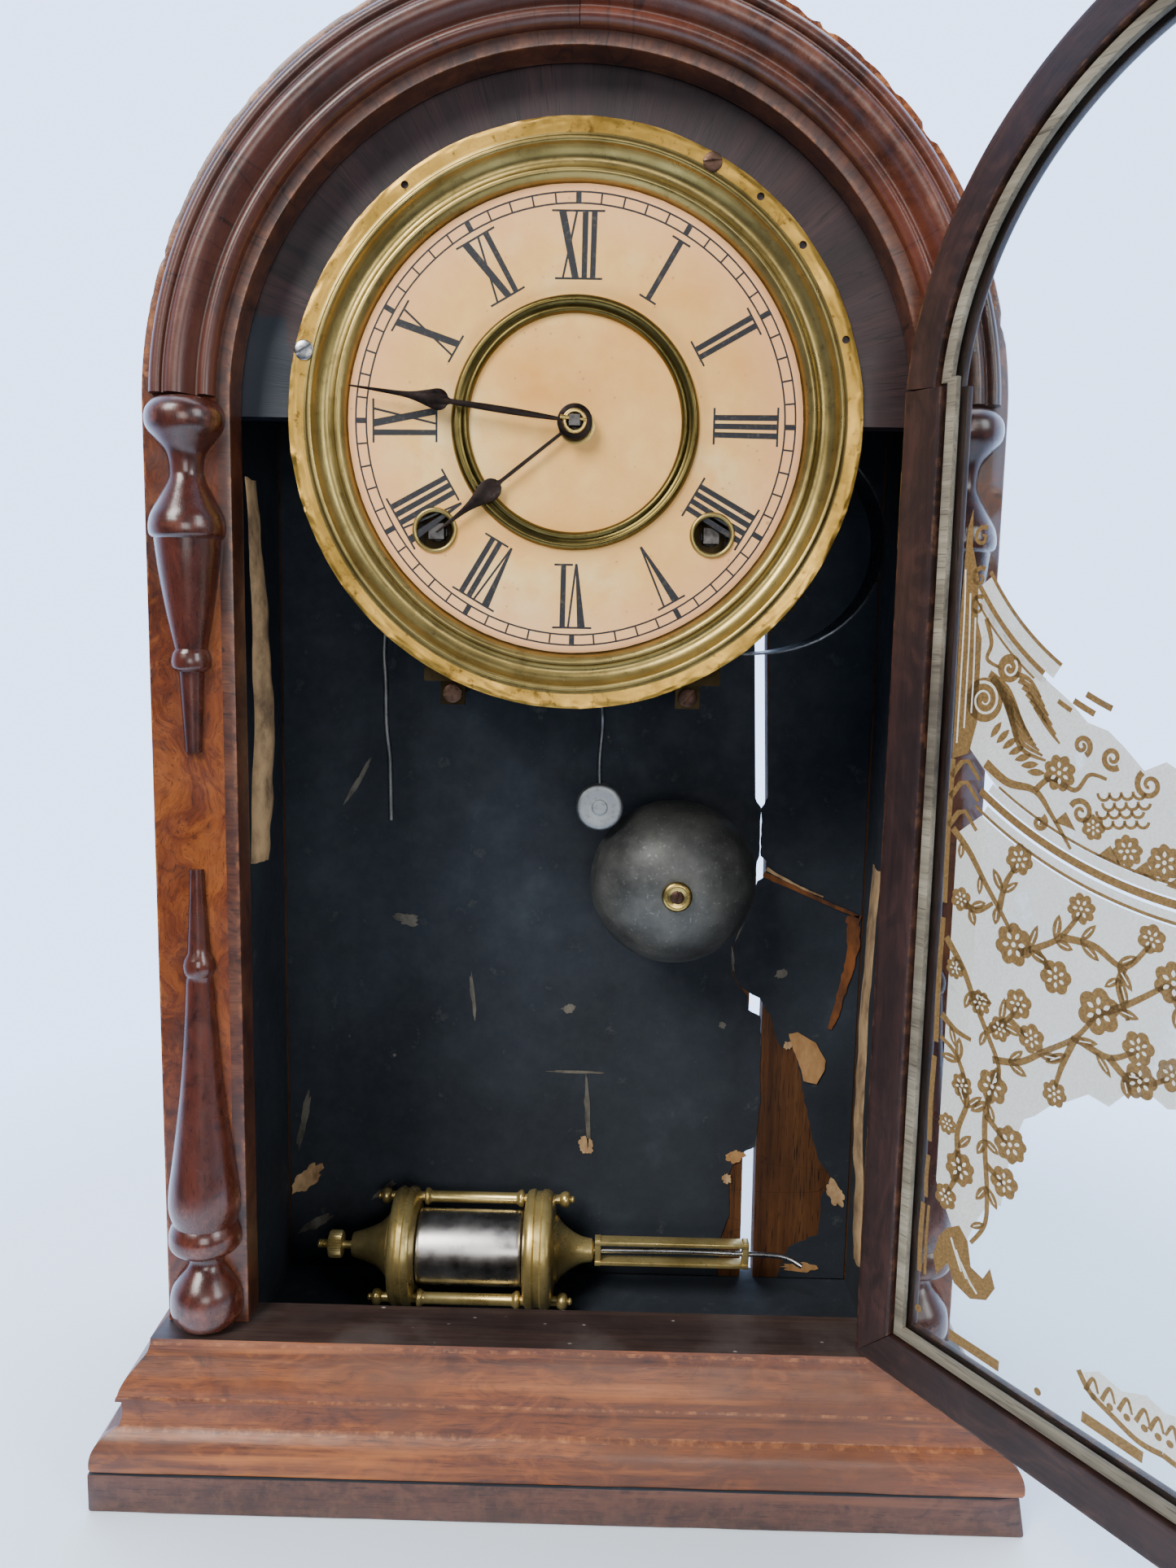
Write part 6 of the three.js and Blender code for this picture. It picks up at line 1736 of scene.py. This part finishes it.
turned("bell_cast", spline([
    (2.4, 7.9, 1), (2.6, 7.62), (6.5, 7.75), (11.4, 8.7), (16.4, 10.7), (20.9, 13.9), (24.4, 18.0), (26.8, 22.8),
    (28.1, 27.4), (28.55, 29.2, 1), (28.2, 29.5, 1), (27.2, 29.4, 1), (25.4, 23.2), (22.9, 18.6), (19.6, 15.0),
    (15.4, 12.2), (10.6, 10.3), (2.4, 9.3, 1), (2.4, 7.9)], 6)[:-1], "Y", BELL, bell_metal, "case",
    "bell", segments=128, closed=True, shape=bell_shape)
# the bell post takes the same nearly black brass with painted shade
turned("bell_post_turned", spline([
    (0, 9.0, 1), (1.9, 9.0, 1), (1.9, 9.7, 1), (3.2, 9.7, 1), (3.2, 45.6, 1), (4.4, 46.4), (6, 48.2, 1),
    (6, 53.1, 1), (0, 53.1)], 3), "Y", BELL, shaded_brass, "case", "bell_post", segments=40)
turned("bell_nut", spline([
    (2.1, 5.1, 1), (3.6, 4.75), (4.5, 5.0), (4.95, 5.6), (4.95, 6.7), (4.5, 7.35, 1), (2.1, 7.4, 1), (2.1, 5.1)],
    4)[:-1], "Y", BELL, small_brass, "case", segments=48, closed=True)
slotted_screw("bell_screw", BELL, 2.35, 5.15, brown_steel, "case", 1.35, depth=3.5, dome=0.55)

# movement feet screws seen below the dial
for name, x in (("left", -40), ("right", 37)):
    slotted_screw(f"movement_screw_{name}", (x, 235.2), 3.1, 16.6, brown_steel, "case",
                  0.9 if x > 0 else 0.2, depth=0.7)

# ---------------------------------------------------------------- pendulum bob, lying along X on the case floor
BOB_Y, BOB_Z = centre_mm("bob_jar")[1], centre_mm("bob_jar")[2]
OFFSET = (10.7, 13.8)


def along_x(name, profile, material, node, y=BOB_Y, z=BOB_Z, segments=64, closed=False, shape=None):
    return turned(name, profile, "X", (y, z), material, "bob", node, segments=segments, closed=closed,
                  shape=shape)


along_x("bob_jar_silvered", spline([
    (2.6, -53.2, 1), (12.3, -53.2), (13.0, -52.6), (13.2, -51.4, 1), (13.2, -17.6, 1), (13.0, -16.4), (12.3, -15.8),
    (2.6, -15.8, 1), (2.6, -53.2)], 4)[:-1], silver, "bob_jar", closed=True)
bob_holes = [lathe([(0, -100), (1.95, -100), (1.95, 100), (0, 100)], "X",
                   (BOB_Y + sign * OFFSET[0], BOB_Z + sign * OFFSET[1]), 28) for sign in (-1, 1)]
carve(along_x("bob_cap_lower_spun", spline([
    (2.6, -77.6, 1), (4.0, -77.5), (4.6, -76.2, 1), (6.0, -71.8), (8.0, -67.6), (10.6, -64.9), (11.6, -64.2, 1),
    (12.0, -63.2, 1), (18.6, -62.4), (20.1, -61.4), (20.7, -59.8, 1), (20.0, -59.2, 1), (20.0, -57.6, 1),
    (20.7, -57.0, 1), (20.3, -55.2), (19.0, -54.4), (14.4, -53.65, 1), (2.6, -53.6, 1), (2.6, -77.6)], 4)[:-1],
    bob_brass, "bob_cap_lower", closed=True), bob_holes)
carve(along_x("bob_cap_upper_spun", spline([
    (2.6, -15.4, 1), (14.4, -15.35, 1), (19.0, -14.6), (20.4, -13.4), (20.7, -11.6, 1), (20.0, -11.0, 1),
    (20.0, -9.0, 1), (20.7, -8.4, 1), (20.4, -6.4), (18.6, -4.8), (12.0, -4.0, 1), (11.4, -3.0, 1), (9.6, -1.9),
    (6.8, 1.6), (4.8, 5.4), (4.0, 9.4, 1), (2.6, 10, 1), (2.6, -15.4)], 4)[:-1], bob_brass,
    "bob_cap_upper", closed=True), bob_holes)
COLUMN = spline([
    (0, -70.4, 1), (0.9, -70.1), (1.3, -69.5), (0.9, -68.9, 1), (2.4, -68.2), (2.9, -67.0), (2.4, -65.6), (1.7, -65.0, 1),
    (1.7, -52.8, 1), (2.9, -52.4), (3.1, -51.4), (2.3, -50.4, 1), (2.05, -49.8, 1), (2.05, -19.0, 1), (2.3, -18.4, 1),
    (3.1, -17.4), (2.9, -16.3), (1.7, -15.9, 1), (1.7, -2.8, 1), (2.4, -2.2), (2.9, -0.8), (2.4, 0.6), (0.9, 1.2, 1),
    (1.3, 1.8), (0.9, 2.5), (0, 2.8, 1)], 4)
for name, sign in (("front", -1), ("rear", 1)):
    along_x(f"bob_column_{name}_turned", COLUMN, bob_brass, f"bob_column_{name}",
            y=BOB_Y + sign * OFFSET[0], z=BOB_Z + sign * OFFSET[1], segments=32)


def threads(r, x, angle, index):
    """A screw thread along the rating rod and knurling on the nut."""
    if 1.2 < r < 1.6 and x < -80.7:
        return r + 0.16 * math.sin(TAU * x / 0.7 + angle), x
    if r > 4.3:
        return r + 0.16 * math.cos(angle * 34), x
    return r, x


rod = [(0, -90.2), (1.2, -90.15)] + [(1.4, -90 + 0.1 * i) for i in range(36)] + [
    (1.4, -86.4), (3.6, -86.3), (4.4, -85.9), (4.7, -85.2), (4.7, -82.0), (4.4, -81.3), (3.6, -80.9), (1.4, -80.8),
    (1.4, 12), (0, 12)]
along_x("bob_rating_rod", rod, bob_brass, "bob_rod", segments=136, shape=threads)
for name, offset in (("upper", 3.8), ("lower", -3.8)):
    slab(f"bob_strip_{name}", (10.4, BOB_Y - 2.6, BOB_Z + offset - 0.7), (66, BOB_Y + 2.6, BOB_Z + offset + 0.7),
         bob_brass, "bob", "bob_rod", radius=0.25, cell=8)
for name, x0, x1 in (("lower", 10.4, 12.6), ("upper", 63.8, 66)):
    slab(f"bob_strip_block_{name}", (x0, BOB_Y - 2.2, BOB_Z - 5), (x1, BOB_Y + 2.2, BOB_Z + 5), bob_brass, "bob",
         radius=0.3, cell=8)
tube("bob_hook", [(9, BOB_Y, BOB_Z), (40, BOB_Y, BOB_Z + 0.4), (64, BOB_Y, BOB_Z), (76, BOB_Y, BOB_Z - 0.4),
                  (81, BOB_Y - 1, BOB_Z - 1.2), (85, BOB_Y - 3, BOB_Z - 2.6)], 0.95, bright_steel, "bob",
     "bob_rod")


# ---------------------------------------------------------------- floor, light and camera
def build_floor():
    """A plain pale floor that fades away outside the object's surroundings."""
    s = Shader("floor", roughness=0.6)
    s.set("Base Color", (0.84, 0.93, 1.0, 1))
    x, y, z = s.parts(s.place)[0:3]
    reach = s.maths("SQRT", s.maths("ADD", s.maths("MULTIPLY", x, x), s.maths("MULTIPLY", y, y)))
    s.set("Alpha", s.span(reach, 0.26, 0.42, 1.0, 0.0))
    rings, count = [0, 200, 400, 700, 1200, 2500, 6000], 64
    verts = [(0, 0, 0)]
    for radius in rings[1:]:
        verts += [(radius * math.cos(TAU * i / count), radius * math.sin(TAU * i / count), 0) for i in range(count)]
    faces = [(0, 1 + i, 1 + (i + 1) % count) for i in range(count)]
    for k in range(len(rings) - 2):
        faces += [(1 + k * count + i, 1 + k * count + (i + 1) % count, 1 + (k + 1) * count + (i + 1) % count,
                   1 + (k + 1) * count + i) for i in range(count)]
    mesh = bpy.data.meshes.new("floor")
    mesh.from_pydata([tuple(c * MM for c in v) for v in verts], [], faces)
    mesh.materials.append(s.material)
    floor = bpy.data.objects.new("floor", mesh)
    bpy.context.scene.collection.objects.link(floor)


build_floor()

world = bpy.data.worlds.new("studio")
bpy.context.scene.world = world
world.use_nodes = True
backdrop = world.node_tree.nodes["Background"]
backdrop.inputs["Color"].default_value = (0.5, 0.66, 1.0, 1)
# the studio is bright behind the clock and dimmer in front of it
heading = world.node_tree.nodes.new("ShaderNodeTexCoord")
split = world.node_tree.nodes.new("ShaderNodeSeparateXYZ")
dimmer = world.node_tree.nodes.new("ShaderNodeMapRange")
for key, value in (("From Min", -0.3), ("From Max", 0.55), ("To Min", 0.2), ("To Max", 4.3)):
    dimmer.inputs[key].default_value = value
world.node_tree.links.new(heading.outputs["Generated"], split.inputs[0])
world.node_tree.links.new(split.outputs["Y"], dimmer.inputs["Value"])
world.node_tree.links.new(dimmer.outputs[0], backdrop.inputs["Strength"])


def add_softbox(name, place, aim, size, power, colour=(1, 1, 1)):
    lamp = bpy.data.lights.new(name, "AREA")
    lamp.shape = "RECTANGLE"
    lamp.size, lamp.size_y = size
    lamp.energy = power
    lamp.color = colour
    holder = bpy.data.objects.new(name, lamp)
    holder.location = place
    holder.rotation_euler = (Vector(aim) - Vector(place)).to_track_quat("-Z", "Y").to_euler()
    bpy.context.scene.collection.objects.link(holder)


add_softbox("key_softbox", (-0.9, -1.3, 1.5), (0, 0, 0.25), (0.8, 1.0), 53, (1, 0.98, 0.95))
add_softbox("fill_softbox", (1.4, -1.2, 0.9), (0, 0, 0.25), (0.6, 0.9), 16, (0.92, 0.96, 1))
add_softbox("low_softbox", (0.15, -1.3, 0.35), (0, 0.05, 0.14), (0.5, 0.4), 4.5, (1, 0.98, 0.96))
add_softbox("top_softbox", (0.1, 0.3, 1.9), (0, 0, 0.2), (1.6, 1.2), 20, (0.95, 0.97, 1))

CAMERA_PLACE = (9.87, -376.53, 259.63)
YAW, PITCH, ROLL = (math.radians(v) for v in (0.713, 7.754, 1.077))
LENS_OF_HEIGHT = 1475.1 / 1927


def add_camera():
    data = bpy.data.cameras.new("camera")
    data.sensor_fit = "VERTICAL"
    data.sensor_height = 24
    data.lens = LENS_OF_HEIGHT * data.sensor_height
    data.clip_start = 0.01
    ahead = Vector((-math.sin(YAW), math.cos(YAW), 0))
    right = Vector((math.cos(YAW), math.sin(YAW), 0))
    up = Vector((0, 0, 1))
    look = ahead * math.cos(PITCH) - up * math.sin(PITCH)
    above = up * math.cos(PITCH) + ahead * math.sin(PITCH)
    side = right * math.cos(ROLL) + above * math.sin(ROLL)
    head = above * math.cos(ROLL) - right * math.sin(ROLL)
    camera = bpy.data.objects.new("camera", data)
    turn = Matrix((side, head, -look)).transposed().to_4x4()
    camera.matrix_world = Matrix.Translation(Vector(CAMERA_PLACE) * MM) @ turn
    bpy.context.scene.collection.objects.link(camera)
    bpy.context.scene.camera = camera


add_camera()
